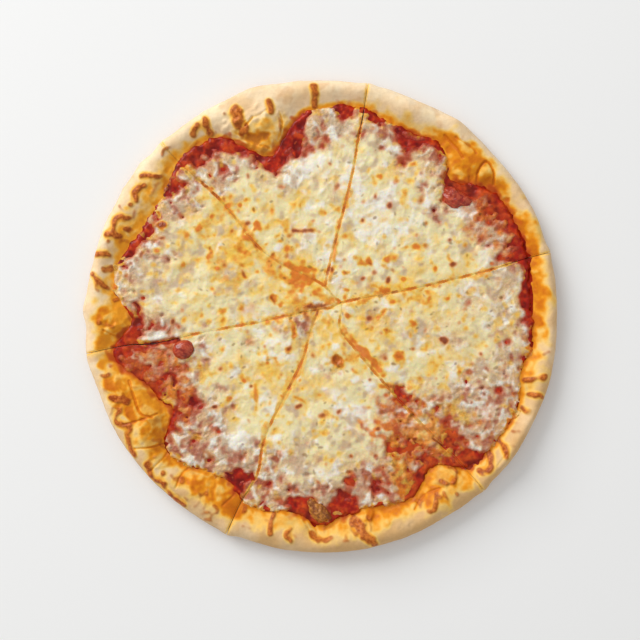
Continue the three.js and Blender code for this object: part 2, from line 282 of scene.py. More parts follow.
def stroke(field, points, width, height, edge=0.5, ragged=0.0):  # a rounded ridge along the points
    line = curveOf(points) if len(points) > 1 else [points[0], points[0]]
    part = windowOf(line, width)
    away = lineDistance(planX[part], planY[part], line) / (width / 2) + ragged * warp[part]
    profile = height * np.clip(1 - np.clip(away, 0, None)**2, 0, None) ** edge
    field[part] = np.maximum(field[part], profile)


# An uneven oval, at its full strength in the middle.
def patch(field, atX, atY, length, width, turn, strength, soft=0.35, ragged=0.22):
    part = windowOf([(atX, atY)], max(length, width) * 1.2)
    x, y = planX[part] - atX, planY[part] - atY
    angle = math.radians(turn)
    along = (x * math.cos(angle) + y * math.sin(angle)) / (length / 2)
    across = (y * math.cos(angle) - x * math.sin(angle)) / (width / 2)
    share = smooth(np.hypot(along, across) + ragged * warp[part], 1 + soft, 1 - soft)
    field[part] = np.maximum(field[part], strength * share)


def blank(value=0.0):
    return np.full((planSide, planSide), value)


def merged(lay, forms, **how):  # all the forms on one field, where the highest one shows
    field = blank()
    for form in forms:
        lay(field, *form, **how)
    return field


def piled(lay, forms, **how):  # the forms added up
    field = blank()
    for form in forms:
        field += merged(lay, [form], **how)
    return field


cutSpans = {
    name: spansOf([(*point, knifeGap)[:3] for point in points]) for name, points in cuts.items()
}


def runOf(name, start, stop):
    spans = cutSpans[name]
    low, high = sorted((start, stop))
    line = np.concatenate([span[:-1] for span in spans[low:high]] + [spans[high - 1][-1:]])
    return line if start < stop else line[::-1]


def cutDistances(reach=15):
    field = blank(reach)
    for spans in cutSpans.values():
        for span in spans:
            line = span[:, :2]
            part = windowOf(line, reach)
            away = lineDistance(planX[part], planY[part], [tuple(p) for p in line])
            field[part] = np.minimum(field[part], away)
    return field


planBearing = bearingOf(planX, planY)
planDistance = np.hypot(planX, planY)
planRim = rimAt(planBearing)
inFromFoot = planRim["foot"] - planDistance
inFromOutside = planRim["outside"] - planDistance
cutAway = cutDistances()
scatterIn = {"shreds": 12, "specks": 16}  # how far inside the outline the middles stay
print("plan worked out:", planSide, "by", planSide)


def shredField(count, lengths, widths):  # short bent strands, highest one on top
    field = blank()
    reach = outline["radius"] - scatterIn["shreds"]
    for _ in range(count):
        middle = np.array(fromMiddle(draw.uniform(0, 360), reach * math.sqrt(draw.uniform())))
        line = bentLine(middle, draw.uniform(*lengths))
        width = draw.uniform(*widths)
        part = windowOf(line, width)
        away = lineDistance(planX[part], planY[part], line) / (width / 2)
        profile = draw.uniform(0.45, 1) * np.sqrt(np.clip(1 - away**2, 0, None))
        field[part] = np.maximum(field[part], profile)
    return field


# The crust's relief and stains.
bakedShreds = {
    "height": 0.55,
    "ragged": 0.3,
    "plump": 1.05,  # how much wider a placed one is than its table says
    "spread": 1.7,  # how much wider its browning is than the shred
    "spreadEdge": 0.1,
    "lengths": (2, 5.5),  # of the scattered ones, from and to
    "widths": (1.2, 2.2),
    "darks": (0.1, 0.6),
    "heights": (0.5, 1),
    "scattered": [  # bearings from and to, distances from and to, how many
        (133, 178, 133, 146, 16), (196, 252, 124, 146, 44), (252, 300, 127, 142, 16),
        (316, 352, 134, 146, 6), (18, 60, 126, 142, 8),
    ],
    "placed": [  # bearings and distances along it, width, how dark it baked
        ([(91.7, 148), (91.2, 143), (91.6, 137.5)], 4.5, 0.8),
        ([(103.3, 143), (103.3, 135)], 3.5, 0.8),
        ([(101.6, 131), (101.9, 123), (102, 116)], 1.8, 0.45),
        ([(112, 142), (112.6, 135), (112.2, 129.5)], 7, 0.75),
        ([(115.2, 144), (115.2, 143.6)], 2.6, 0.7),
        ([(120.1, 148), (120.5, 142), (120.3, 137.5)], 4, 0.85),
        ([(124.8, 143), (122.5, 147)], 3.5, 0.8),
        ([(134, 145), (132.7, 147), (131.3, 146)], 2.4, 0.6),
        ([(141.3, 146), (138.7, 138)], 3.5, 0.9),
        ([(147.3, 139.5), (145.4, 143.6), (142.9, 141.2)], 3.4, 0.85),
        ([(148.9, 142), (148.7, 141)], 3, 0.75),
        ([(156.5, 143.5), (154.6, 145.3), (152.8, 143.5), (152.2, 138)], 3.4, 0.85),
        ([(155.1, 137), (155, 136)], 3.2, 0.9), ([(158.2, 146.5), (157.4, 138)], 3.5, 0.9),
        ([(159.8, 144.5), (159.6, 143.8)], 2.3, 0.7), ([(163.6, 148), (163.1, 141)], 4.2, 0.8),
        ([(166.8, 141.5), (166.2, 137.5)], 4, 0.65),
        ([(168.7, 148), (170.2, 142.5), (171.7, 137.5)], 3.5, 0.85),
        ([(174.6, 132), (174.4, 131)], 3, 0.6), ([(181, 140.5), (181.8, 132.5)], 3.5, 0.6),
        ([(194.5, 137.5), (194.5, 142)], 4, 0.7),
        ([(203, 132.5), (201.4, 137.8), (200.2, 142.7)], 4.2, 0.95),
        ([(208.8, 138), (207.5, 144), (205.9, 145), (204.3, 140)], 3, 0.9),
        ([(210.3, 140), (210.1, 139)], 3, 0.8),
        ([(216.4, 146.5), (214, 145.8), (211.9, 143.5)], 3.4, 0.85),
        ([(226.2, 144), (223.4, 147), (219.9, 143.5)], 3.3, 0.85),
        ([(224.3, 140), (224, 139.3)], 2.8, 0.8),
        ([(233.8, 146.5), (230, 146.6), (226.5, 145)], 2.6, 1),
        ([(233.2, 142.5), (232.4, 142)], 2.6, 0.75), ([(229.4, 135.5), (228.8, 134.5)], 3, 0.7),
        ([(236.9, 132), (236.5, 129.5)], 4, 0.55), ([(248.1, 131), (248, 129.5)], 3.5, 0.6),
        ([(256.8, 139.5), (256.2, 133), (256.6, 127)], 3.2, 0.7),
        ([(262.3, 142), (260.8, 138), (262.1, 134)], 3.2, 0.8),
        ([(269.4, 140.5), (267.5, 136.3)], 3.4, 0.7),
        ([(272.7, 138.5), (271.1, 140.7), (269.7, 139.3)], 2.4, 0.6),
        ([(282.9, 144.5), (281.4, 138), (279.7, 130.5)], 6.6, 0.75),
        ([(283.7, 131.5), (283.3, 130)], 4, 0.7), ([(299.7, 140.5), (299.5, 139.5)], 2.5, 0.6),
        ([(303.8, 135.5), (303.5, 134.5)], 3, 0.6), ([(308, 140.5), (307.9, 139.5)], 2.5, 0.55),
        ([(306.8, 128), (308, 132.5), (311, 132), (312, 128), (310.5, 123)], 2.4, 0.7),
        ([(303.5, 133), (302, 138), (300.8, 141)], 2.6, 0.7),
        ([(305.5, 134), (305.2, 139)], 2.2, 0.6),
        ([(321.9, 134.5), (320.6, 141), (318.4, 143.5), (316.2, 139.5)], 3.3, 0.9),
        ([(326, 135.7), (325, 143), (323.4, 147)], 3.2, 0.9),
        ([(330.6, 144.5), (330, 142)], 3, 0.4), ([(336.3, 141), (335.7, 145)], 4, 0.75),
        ([(340.9, 148), (340.2, 141.5)], 4, 0.85),
        ([(345.5, 146.5), (344.6, 141), (343.2, 135)], 3.4, 0.8),
    ],
}

rimForms = {
    "lumps": [(26, 0.5), (10, 0.16), (4, 0.05)],  # width and height of the rim's unevenness
    "creases": [  # points, width, depth
        ([(-47.5, 123), (-43, 128)], 2.4, 1.4),
        ([(125.8, -51.5), (121.3, -61), (111.7, -72.6)], 1.6, 0.7),
        ([(-138, -6.7), (-128.3, -11.8)], 2, 1),
        ([(-13, -125), (-9, -131), (-5.5, -138)], 1.8, 0.7),
        ([(-9, -124), (-5.5, -130), (-2, -136)], 1.6, 0.6),
        ([(100, 83), (100.5, 95), (105.5, 100.5), (110, 94), (110.5, 86)], 2, 1.3),
        ([(79, 117.5), (87, 108.5), (90.6, 103)], 2, 1),
        ([(86, 116), (97, 108.5), (99, 105.5)], 1.8, 0.9), ([(95, 91), (97, 81)], 2, 1),
        ([(-54, 119), (-43, 113), (-32.6, 109.4)], 2, 0.9),
        ([(-26, 132), (-24.3, 124), (-27, 115)], 1.8, 0.9),
        ([(-48, 125.6), (-40, 129), (-34, 133)], 1.5, 0.6),
        ([(-109, -97), (-100, -88), (-94, -80)], 1.8, 0.8),
        ([(-92, -107), (-88, -98), (-80, -92)], 1.8, 0.8),
        ([(124, 68), (119, 60), (118, 52)], 1.8, 0.8),
        ([(60, -121), (66, -112), (76, -107)], 1.8, 0.8),
        ([(-128, 12), (-120, 16), (-113, 12)], 1.8, 0.8), ([(118, -85), (112, -93)], 2, 0.8),
        ([(-122, -39), (-118.7, -49), (-114, -60), (-107, -62)], 2.2, 1.3),
        ([(-126, -67), (-115, -64), (-104, -60)], 1.8, 1),
        ([(-118, -82), (-107, -81), (-98, -79)], 1.8, 1), ([(-85, 106), (-79, 112)], 1.8, 0.8),
        ([(-126, 30), (-120, 40)], 2, 0.7), ([(-62, -118), (-55, -112)], 2, 0.7),
        ([(133, 33), (137, 20)], 1.8, 0.6),
    ],
    "folds": [  # points, width, height
        ([(-60, 110), (-48, 112), (-38, 109)], 6, 1.6),
        ([(-118.7, -34), (-114, -48), (-107, -60)], 15, 2.6), ([(99, 86), (105, 93)], 9, 1.8),
        ([(-28, 118), (-20, 124)], 13, 1.4), ([(60, -72), (72, -74)], 14, 1.4),
        ([(-30, -126), (-18, -127)], 9, 1), ([(40, -128), (52, -122)], 10, 1),
    ],
    "knobs": [  # x, y, length, width, turn, height
        (-40, 119, 44, 22, 10, 1.8), (-131.8, -5.8, 9, 5, 10, 2), (28.8, -125, 9, 9, 0, 2.4),
        (80.3, -98.6, 15, 14, 0, 2.2), (-113, 77.5, 11, 10, 0, 1.2), (-103.5, 91, 12, 9, 30, 1),
        (-127.5, 4, 15, 9, 95, 1), (-58, 121, 11, 9, 20, 1.2), (-36, 125, 10, 8, 60, 1.1),
        (-98, -88, 16, 11, 45, 1.3), (-78, -104, 14, 11, 50, 1.2), (-112, -70, 13, 10, 60, 1.2),
        (6, -133, 14, 8, 0, 1), (124, 61, 12, 9, 60, 1), (128, -43, 15, 9, 70, 1.2),
        (103, -83, 12, 9, 130, 1.1), (52, -125, 14, 9, 25, 1),
    ],
    "smudges": [  # x, y, length, width, turn, how brown it has baked
        (-40, 114.5, 20, 8, 8, 1), (-30, 112, 16, 5, 30, 0.7), (-50, 112, 12, 5, -10, 0.5),
        (88, 116, 6, 3, -30, 0.6), (95, 110, 5, 3, -40, 0.6), (118, 77.8, 5, 4, 0, 0.9),
        (131.5, 74.6, 6, 3, -60, 0.5), (112, 86, 10, 4, 60, 0.5), (126, 50, 8, 4, 110, 0.6),
        (80.3, -98.6, 17, 15, 0, 0.55), (-120, 4, 8, 14, 10, 0.5), (-124, -8, 12, 6, -10, 0.6),
        (-105, -64, 8, 14, 30, 0.6), (-96, -78, 10, 8, 40, 0.5), (-80, -97, 12, 6, 130, 0.5),
        (-66, -109, 10, 5, 140, 0.5), (-36, -122, 12, 5, 160, 0.4), (10, -128, 8, 6, 0, 0.5),
        (44, -122, 12, 6, 20, 0.4), (-113, 70, 10, 7, 60, 0.4), (-122, 40, 6, 12, 10, 0.4),
        (128, -20, 5, 14, 0, 0.3), (122, -48, 6, 14, -20, 0.3), (64, -112, 14, 6, 30, 0.4),
    ],
    "hollows": [  # x, y, length, width, turn, depth
        (-40.3, 114.8, 15, 7, 5, 2), (-35.5, 114.2, 3, 3, 0, 1), (-28.5, 113, 3, 3, 0, 1),
        (-24, 113, 2.6, 2.6, 0, 0.8), (127.7, 48.3, 7, 5, 20, 1.6), (118.7, 77.1, 3, 3, 0, 1.2),
    ],
}

stains = {
    "runs": (1300, (4, 12), (1.4, 3.4)),  # streaks in the stain: how many, lengths and widths
    "raggedness": [(9, 2.4), (4, 0.5)],  # width and reach of its edge's unevenness
    "from": [  # how far in from the outside the oily stain begins
        (0, 4), (10, 6), (17, 4), (25, 3), (40, 3), (50, 6), (57, 8), (62, 10), (75, 10), (79, 5),
        (85, 11), (92, 13), (100, 18), (112, 19), (122, 12), (131, 6), (136, 8), (150, 8), (160, 7),
        (170, 8), (180, 6), (190, 4), (205, 4), (215, 6), (235, 9), (246, 4), (251, 9), (258, 9),
        (270, 9), (285, 9), (300, 8), (312, 7), (318, 9), (330, 9), (338, 10), (346, 6), (353, 4),
    ],
    "paintedSideShade": [  # painted shade: how much darker the plain dough is made, most round the side away from the light
        (0, 0.6), (40, 0.35), (60, 0.05), (100, 0.05), (125, 0.18), (165, 0.12), (200, 0.4),
        (240, 0.8), (270, 1), (315, 1), (340, 0.85),
    ],
    "strength": [  # how much of the dough's own colour it hides
        (0, 0.95), (10, 0.8), (17, 0.95), (40, 1), (50, 0.9), (57, 0.8), (62, 0.5), (75, 0.5),
        (79, 0.8), (85, 0.4), (92, 0.25), (100, 0.5), (112, 0.7), (122, 0.65), (131, 0.95),
        (150, 0.85), (170, 0.85), (180, 0.95), (205, 1), (215, 0.9), (235, 0.8), (246, 0.95),
        (252, 0.6), (270, 0.7), (285, 0.8), (300, 0.85), (312, 0.85), (318, 0.5), (330, 0.5),
        (338, 0.45), (346, 0.75), (353, 0.95),
    ],
}


def bakedFields():  # where the browned shreds stand, and how dark they are
    baked, browned = blank(), blank()

    def lay(line, width, height, dark, plump=1):
        stroke(baked, line, width * plump, height, ragged=bakedShreds["ragged"])
        spread = width * bakedShreds["spread"]
        stroke(browned, line, spread, dark, edge=bakedShreds["spreadEdge"])

    for points, width, dark in bakedShreds["placed"]:
        lay([fromMiddle(*point) for point in points], width, 1, dark, bakedShreds["plump"])
    for first, last, near, far, count in bakedShreds["scattered"]:
        for _ in range(count):
            middle = np.array(fromMiddle(draw.uniform(first, last), draw.uniform(near, far)))
            line = bentLine(middle, draw.uniform(*bakedShreds["lengths"]))
            width = draw.uniform(*bakedShreds["widths"])
            dark = draw.uniform(*bakedShreds["darks"])
            lay(line, width, draw.uniform(*bakedShreds["heights"]), dark)
    return baked, browned


def crustFields():
    relief = rough(*rimForms["lumps"])
    relief += piled(stroke, rimForms["folds"], edge=1.6)
    relief += piled(patch, rimForms["knobs"], soft=0.6, ragged=0.15)
    creased = merged(stroke, rimForms["creases"], edge=1.5)
    sunk = np.maximum(creased, merged(patch, rimForms["hollows"], soft=0.6))
    relief -= sunk
    relief *= 1 - 0.5 * smooth(inFromFoot, -6, 0)  # calmer towards the foot
    smudged = merged(patch, rimForms["smudges"], soft=0.8, ragged=0.4)
    baked, browned = bakedFields()

    begins = alongTable(planBearing, stains["from"]) + rough(*stains["raggedness"])
    strength = alongTable(planBearing, stains["strength"])
    stain = smooth(inFromOutside - begins, -3.5, 11) * strength
    low = smooth(relief, 0.9, -0.9)  # oil gathers in the low places
    run = blurred(shredField(*stains["runs"]), 0.45) * smooth(stain, 0.4, 0.8)
    uneven = 0.84 + 0.2 * low + 0.17 * lumps(7) + 0.09 * lumps(3.4) - 0.4 * (run - 0.3)
    stain *= np.clip(uneven, 0.6, 1.25)
    halo = 0.6 * smooth(blurred(baked * browned, 1.9), 0.01, 0.3)  # round each shred
    foot = smooth(inFromFoot, -4.5, -0.5) * (0.8 + 0.12 * lumps(5))
    inCut = smooth(cutAway, 1.6, 0.3) * smooth(inFromOutside, -1, 3) * 0.5
    for oiled in (halo, foot, inCut):
        stain = np.maximum(stain, oiled)

    ridge = blurred(baked * browned, 0.4)
    fallUp, fallRight = np.gradient(blurred(baked, 0.6), plan["pitch"])  # painted shade on the side of each shred that faces away from the light
    bled = smooth(inFromFoot + 1.3 * lumps(5), -6, 1) * np.clip(planRim["bare"] / 8, 0.1, 1)
    # painted light: the stain on the rim's inner slope round the upper left is made lighter
    paintedLight = smooth(np.cos(np.radians(planBearing - 150)), 0.1, 0.9) * smooth(inFromFoot, -16, -6)
    relief = relief + ridge * bakedShreds["height"] + 0.5 * run
    relief *= 1 - 0.8 * smooth(inFromFoot, 0, 4)
    return {
        "relief": relief - 0.5 * np.exp(-((cutAway / 0.8) ** 2)),
        "stain": np.clip(stain, 0, 1),
        "baked": np.clip(1.25 * blurred(baked, 0.7), 0, 1),
        "browned": blurred(browned, 0.8),
        "paintedShredShade": np.clip((fallUp - fallRight) * 1.6, 0, 1),
        "bled": np.clip(bled, 0, 1),
        "paintedLight": paintedLight,
        "smudge": np.clip(blurred(smudged, 0.8) * (0.9 + 0.3 * lumps(4)), 0, 1),
        "scorch": smooth(lumps(14) + 0.5 * lumps(5), 1.1, 2.4),
        "paintedSideShade": np.clip(alongTable(planBearing, stains["paintedSideShade"]) + 0.15 * lumps(16), 0, 1),
        "flour": smooth(inFromOutside + 1.5 * lumps(6), 8, 1),
        "sunk": sunk,
    }


crustField = crustFields()
print("crust's relief and stains laid out")

marks = {  # x, y, length, width, turn, strength
    "golden": [  # where it has turned golden
        (-48, 46, 84, 46, 135, 1), (-14, 20, 44, 26, 10, 0.9), (-72, 24, 40, 34, 0, 0.55),
        (48, 6, 70, 34, 12, 0.85), (22, -18, 44, 30, -45, 0.8), (-26, 74, 40, 24, 30, 0.5),
        (52, 44, 44, 22, 10, 0.5), (-30, -30, 44, 26, 60, 0.45), (-52, -40, 34, 22, 40, 0.4),
        (66, -22, 50, 26, -20, 0.6), (-6, -44, 34, 30, 0, 0.4), (62, 88, 30, 14, -20, 0.5),
        (-96, 44, 24, 30, 0, 0.5),
    ],
    "oil": [  # where yellow oil stands on it
        (-40, 59.8, 6.5, 5.5, 60, 1), (-46, 51.5, 13, 5, -50, 0.9), (-18, 14, 22, 8, -30, 0.6),
        (-24, 26, 16, 6, -45, 0.7), (-8, 30, 10, 10, 0, 0.5), (-54, 20, 18, 8, 70, 0.5),
        (-22, 44, 14, 5, 20, 0.6), (20, 52, 5, 16, 10, 0.4), (-64, 36, 16, 7, 60, 0.5),
        (-13.5, 24, 9, 11, 30, 1), (-12, 27, 14, 14, 0, 1), (-16, 32, 40, 4.5, -29, 0.8),
        (-48, 58, 34, 4, -50, 0.6), (-28, 1, 46, 3.5, 12, 0.6), (-9, -15, 28, 3.5, 70, 0.5),
        (9, 44, 40, 3.5, 82, 0.7), (17, 19, 7, 2, -10, 0.9), (-17.5, -6, 4, 15, 10, 0.8),
        (-29, 13.5, 11, 4, -65, 0.9), (3, 13, 18, 6, -20, 0.7), (-62.4, 5.4, 5, 4.5, 0, 0.8),
        (38.1, 89.9, 4.5, 4, 0, 0.8), (59.8, 99.5, 6, 3.5, 20, 0.8), (60.2, 46.1, 11, 6, 10, 0.8),
        (25.9, 35.5, 5.5, 5, 0, 0.9), (-41.3, -50, 3, 17, 0, 0.8), (-58.6, -50.2, 4.5, 4, 0, 0.8),
        (58.6, -1.6, 5.5, 5, 0, 0.9), (60.5, -7.4, 4, 4, 0, 0.7), (42.6, -7.4, 4.5, 4, 0, 0.8),
        (50.9, -23.4, 12, 5.5, -10, 0.9), (81.6, 13.8, 5, 4, 0, 0.7), (66.9, 11.2, 5, 4, 0, 0.7),
        (28, -21.5, 36, 5, -49, 0.95), (-53, 40, 12, 5, 120, 0.5), (-70, 62, 16, 8, 30, 0.5),
        (-32, -34, 12, 12, 0, 0.5), (10.6, -25.9, 13, 12, 0, 0.7), (66, -72, 20, 22, 0, 0.6),
        (-100.5, 60, 6, 5, 0, 0.9), (-12, 8, 16, 6, 20, 0.6), (-30, 30, 14, 5, -45, 0.7),
        (86, -52, 14, 5, 30, 0.5), (41, -117, 10, 6, 0, 0.4), (53, -102, 12, 34, 12, 0.6),
        (75, -72, 34, 12, -46, 0.6), (47, -86, 9, 26, 8, 0.6), (88, -60, 26, 9, -20, 0.5),
        (-100, -56, 12, 20, 15, 0.6),
    ],
    "film": [  # where orange oil has stained sauce and cheese alike
        (-110, -28, 40, 18, 8, 1), (-89, -46, 13, 34, 5, 1), (102, 56, 24, 30, 20, 0.6),
        (64, -78, 58, 40, -30, 1), (53, -104, 16, 42, 10, 1), (48, -58, 32, 16, -48, 0.8),
        (106, 62, 20, 46, 22, 0.8), (88, 86, 26, 10, -40, 0.7), (-112, -42, 18, 50, 12, 0.9),
        (-106, -66, 14, 24, 40, 0.7), (-88, 98, 34, 10, 38, 0.4), (-12, -126, 34, 9, 0, 0.6),
        (24, -106, 30, 10, 10, 0.4), (-118, -2, 10, 20, 0, 0.4), (104, -66, 18, 24, -40, 0.4),
    ],
    "toast": [  # brown spots
        (-40, 59.8, 4, 3.4, 60, 0.6), (-49.3, 29.5, 8, 2, -65, 0.8),
        (-29.7, 11.5, 8, 2.2, -65, 0.8), (-11.5, 56.5, 16, 2.8, -3, 0.9),
        (-41.5, 47, 6, 2.6, -40, 0.7), (-44.5, -14.4, 6, 5.4, 0, 0.5), (10.6, -25.5, 9, 8, 0, 0.6),
        (63.7, 76.5, 6.5, 5.5, 0, 0.7), (47.7, 88, 4, 3.4, 0, 0.6), (60.2, 46.5, 6, 2.6, 10, 0.6),
        (58.6, -1.6, 3, 3, 0, 0.7), (78.4, -13.1, 5.5, 4.5, 0, 0.9),
        (50.9, -23.4, 8, 2.6, -10, 0.7), (-20.2, -18.2, 3.4, 3, 0, 0.8),
        (-15, -55.4, 4.5, 4, 0, 0.9), (1.6, -60.5, 5, 4.5, 0, 0.8), (31, 1, 4, 3.4, 0, 0.8),
        (-100.5, 60, 4, 3.4, 0, 0.9), (-91.2, -4.8, 3.4, 3, 0, 0.9), (13, 20.8, 1.6, 1.6, 0, 1),
        (46, -43, 10, 4, -49, 0.7), (-3.5, 8.3, 18, 3.4, 6, 0.8), (-8, 1, 4, 12, 20, 0.7),
        (-25.9, -84.8, 6, 4, 0, 0.6),
    ],
    "open": [  # where the sauce shows through
        (49, -47, 9, 7, -45, 0.9), (56, -81, 5, 13, 10, 1), (45.8, -86.7, 5, 6, 0, 0.8),
        (73.3, -57.9, 6, 8, 0, 0.9), (65.6, -88, 12, 7, 0, 1), (10.8, -25, 5, 4, 0, 0.8),
        (82.2, -76.5, 13, 9, -20, 1), (73.6, -57.6, 5, 8, 0, 0.7), (18.6, -104, 8, 8, 0, 0.9),
        (33.9, -103.7, 6, 4.5, 0, 0.9), (15, -112.3, 12, 6.5, 0, 1), (13.8, -121, 14, 8, 0, 1),
        (-20.2, -108.8, 5, 3.4, 0, 0.8), (-8, -99.2, 4.5, 2.4, 0, 0.8),
        (-10.2, -117.8, 16, 12, 0, 1), (100.2, 74.6, 8, 9, 0, 1), (109.4, 78.7, 6, 11, 0, 1),
        (124.2, 41.6, 21, 3.4, 17, 1), (107.8, 47.7, 14, 2.8, 10, 0.9), (-117.8, -2.2, 8, 26, 0, 1),
        (-104, -15.2, 38, 3.2, 8, 1), (-89, -30.4, 11, 6.5, 0, 0.9), (-104.3, -45.8, 10, 8, 0, 1),
        (-104.3, -32.3, 20, 16, 0, 0.9), (-13.4, 127, 5, 6, 0, 0.9), (-94, -52, 7, 12, 10, 0.7),
        (-50.4, -101.4, 12, 10, 0, 0.9), (118, 4, 5, 9, 0, 0.7), (121, -14, 5, 8, 0, 0.7),
        (-50, -88, 4, 8, 0, 0.7), (-107, 68, 5, 10, 60, 0.8), (-96, 82, 8, 8, 0, 0.9),
        (64, -86, 14, 6, 10, 0.8), (96, -68, 6, 5, 0, 0.6),
    ],
    "torn": [  # where it is mostly holes
        (106, 78, 46, 34, -50, 0.8), (118, 56, 20, 30, 10, 0.7), (-104, -26, 44, 26, 10, 0.9),
        (-96, -52, 24, 34, 20, 0.6), (66, -86, 54, 26, 10, 0.7), (62, -58, 26, 20, -30, 0.5),
        (-30, 100, 26, 10, 10, 0.6), (-80, 104, 30, 9, 25, 0.7), (2, -117, 44, 14, 0, 0.5),
        (-51, -103, 12, 9, 0, 0.6),
    ],
    "thin": [  # where the cheese is pink over the sauce
        (-13, -1, 16, 18, 20, 0.9), (-14, -4, 12, 17, 20, 1), (-5, 7, 16, 7, 10, 1),
        (11.7, 38, 5, 5, 0, 0.9), (8.5, 25, 6, 4, 0, 0.9), (13.5, 21, 6, 4, 0, 0.8),
        (-4, 9, 20, 5, 5, 0.8), (36, 2, 20, 12, -20, 0.6), (70, -4, 26, 10, 10, 0.4),
        (84, -14, 22, 12, 0, 0.5), (98, 12, 18, 22, 0, 0.5), (8, 84, 10, 22, -15, 0.4),
        (-58, 24, 16, 20, 0, 0.3), (-20, 42, 14, 8, 20, 0.3), (49.3, 98.7, 12, 8, 0, 0.7),
        (71.7, 97, 12, 12, 0, 0.7), (10.6, -31, 10, 6, 0, 0.6), (-7.4, -77.1, 8, 8, 0, 0.6),
        (116, 5, 20, 44, 0, 0.6), (-46, -14, 10, 8, 0, 0.4), (98, -40, 30, 26, 0, 0.35),
        (66, -50, 20, 18, 0, 0.5), (-72, -62, 16, 40, 25, 0.6), (-22, -92, 26, 22, 0, 0.5),
        (22, -96, 30, 20, 0, 0.5), (-76, 92, 24, 12, -40, 0.6), (-104, 24, 14, 24, 0, 0.5),
        (-104, 0, 18, 14, 0, 0.6), (-30, 88, 26, 10, -15, 0.5),
    ],
    "white": [  # where it is whitest
        (-14.4, 14.4, 6.5, 5.5, 0, 1), (46.7, 108.8, 9, 4, -10, 1), (104.3, 81, 3.4, 6, 0, 1),
        (7, 38, 26, 4, 80, 0.9), (-104, -11.5, 34, 3, 7, 0.8), (93, 67, 11, 13, 0, 1),
        # the golden lump at 65.6, -70.7 is made white here as a painted highlight
        (65.6, -70.7, 20, 14, -50, 1), (112, 50, 14, 4, 12, 0.8), (20, 88, 14, 26, 10, 0.7),
        (36, 66, 34, 30, 0, 0.5), (-6, 96, 30, 22, 0, 0.5), (-30, 6, 12, 6, 0, 0.3),
        (-53, -78, 24, 9, 15, 0.8), (106, -58, 14, 12, 0, 0.5), (18, -60, 22, 16, 0, 0.3),
        (0, -96, 30, 10, 0, 0.4), (60, 66, 24, 14, 20, 0.4),
    ],
}


def markField(kind, **how):
    return merged(patch, marks[kind], **how)


# Sauce: over the dough's ground, thinning out just up the inside of the rim.
sauce = {
    "thickness": 1.5,
    "climb": 0.3,  # how far up the inside of the rim it has thinned out to nothing
    "thinning": 2.6,  # and over what width
    "edgeDepth": 0.45,  # how far its mesh dips into the dough there
    "bottom": dough["thickness"] + 0.2,
    "reach": 4,  # how far past the rim's foot its mesh runs
    "pitch": 0.8,
    "shares": ["pulp", "deep", "film"],
}


def sauceFields():
    coarse, fine = lumps(7), lumps(2.8)
    over = inFromFoot + sauce["climb"] + rough((6, 0.5), (2.6, 0.35))
    full = sauce["thickness"] + sauce["edgeDepth"]
    depth = full * smooth(over, 0, sauce["thinning"]) - sauce["edgeDepth"]
    even = groundAt(planX, planY) + depth
    pulp = smooth(coarse * 0.7 + fine * 0.7, 0.2, 1.6)
    depth = depth + smooth(over, 0.5, 4) * (0.3 * coarse + 0.08 * fine)
    depth = depth - 1.8 * smooth(over, 0, -2.5)  # down into the dough past its edge
    top = groundAt(planX, planY) + depth - 0.3 * np.exp(-((cutAway / 1.0) ** 2))
    # painted shade: the sauce is made deeper red in the corner along the rim's foot
    paintedRimShade = 0.5 * smooth(inFromFoot + fine, 3.5, -0.5)
    deep = np.maximum(smooth(coarse + 0.6 * fine, 0, -2), paintedRimShade)
    film = markField("film", soft=0.9, ragged=0.3) * (0.8 + 0.25 * lumps(6))
    return {"top": top, "even": even, "pulp": pulp, "deep": deep, "film": film}


sauceField = sauceFields()

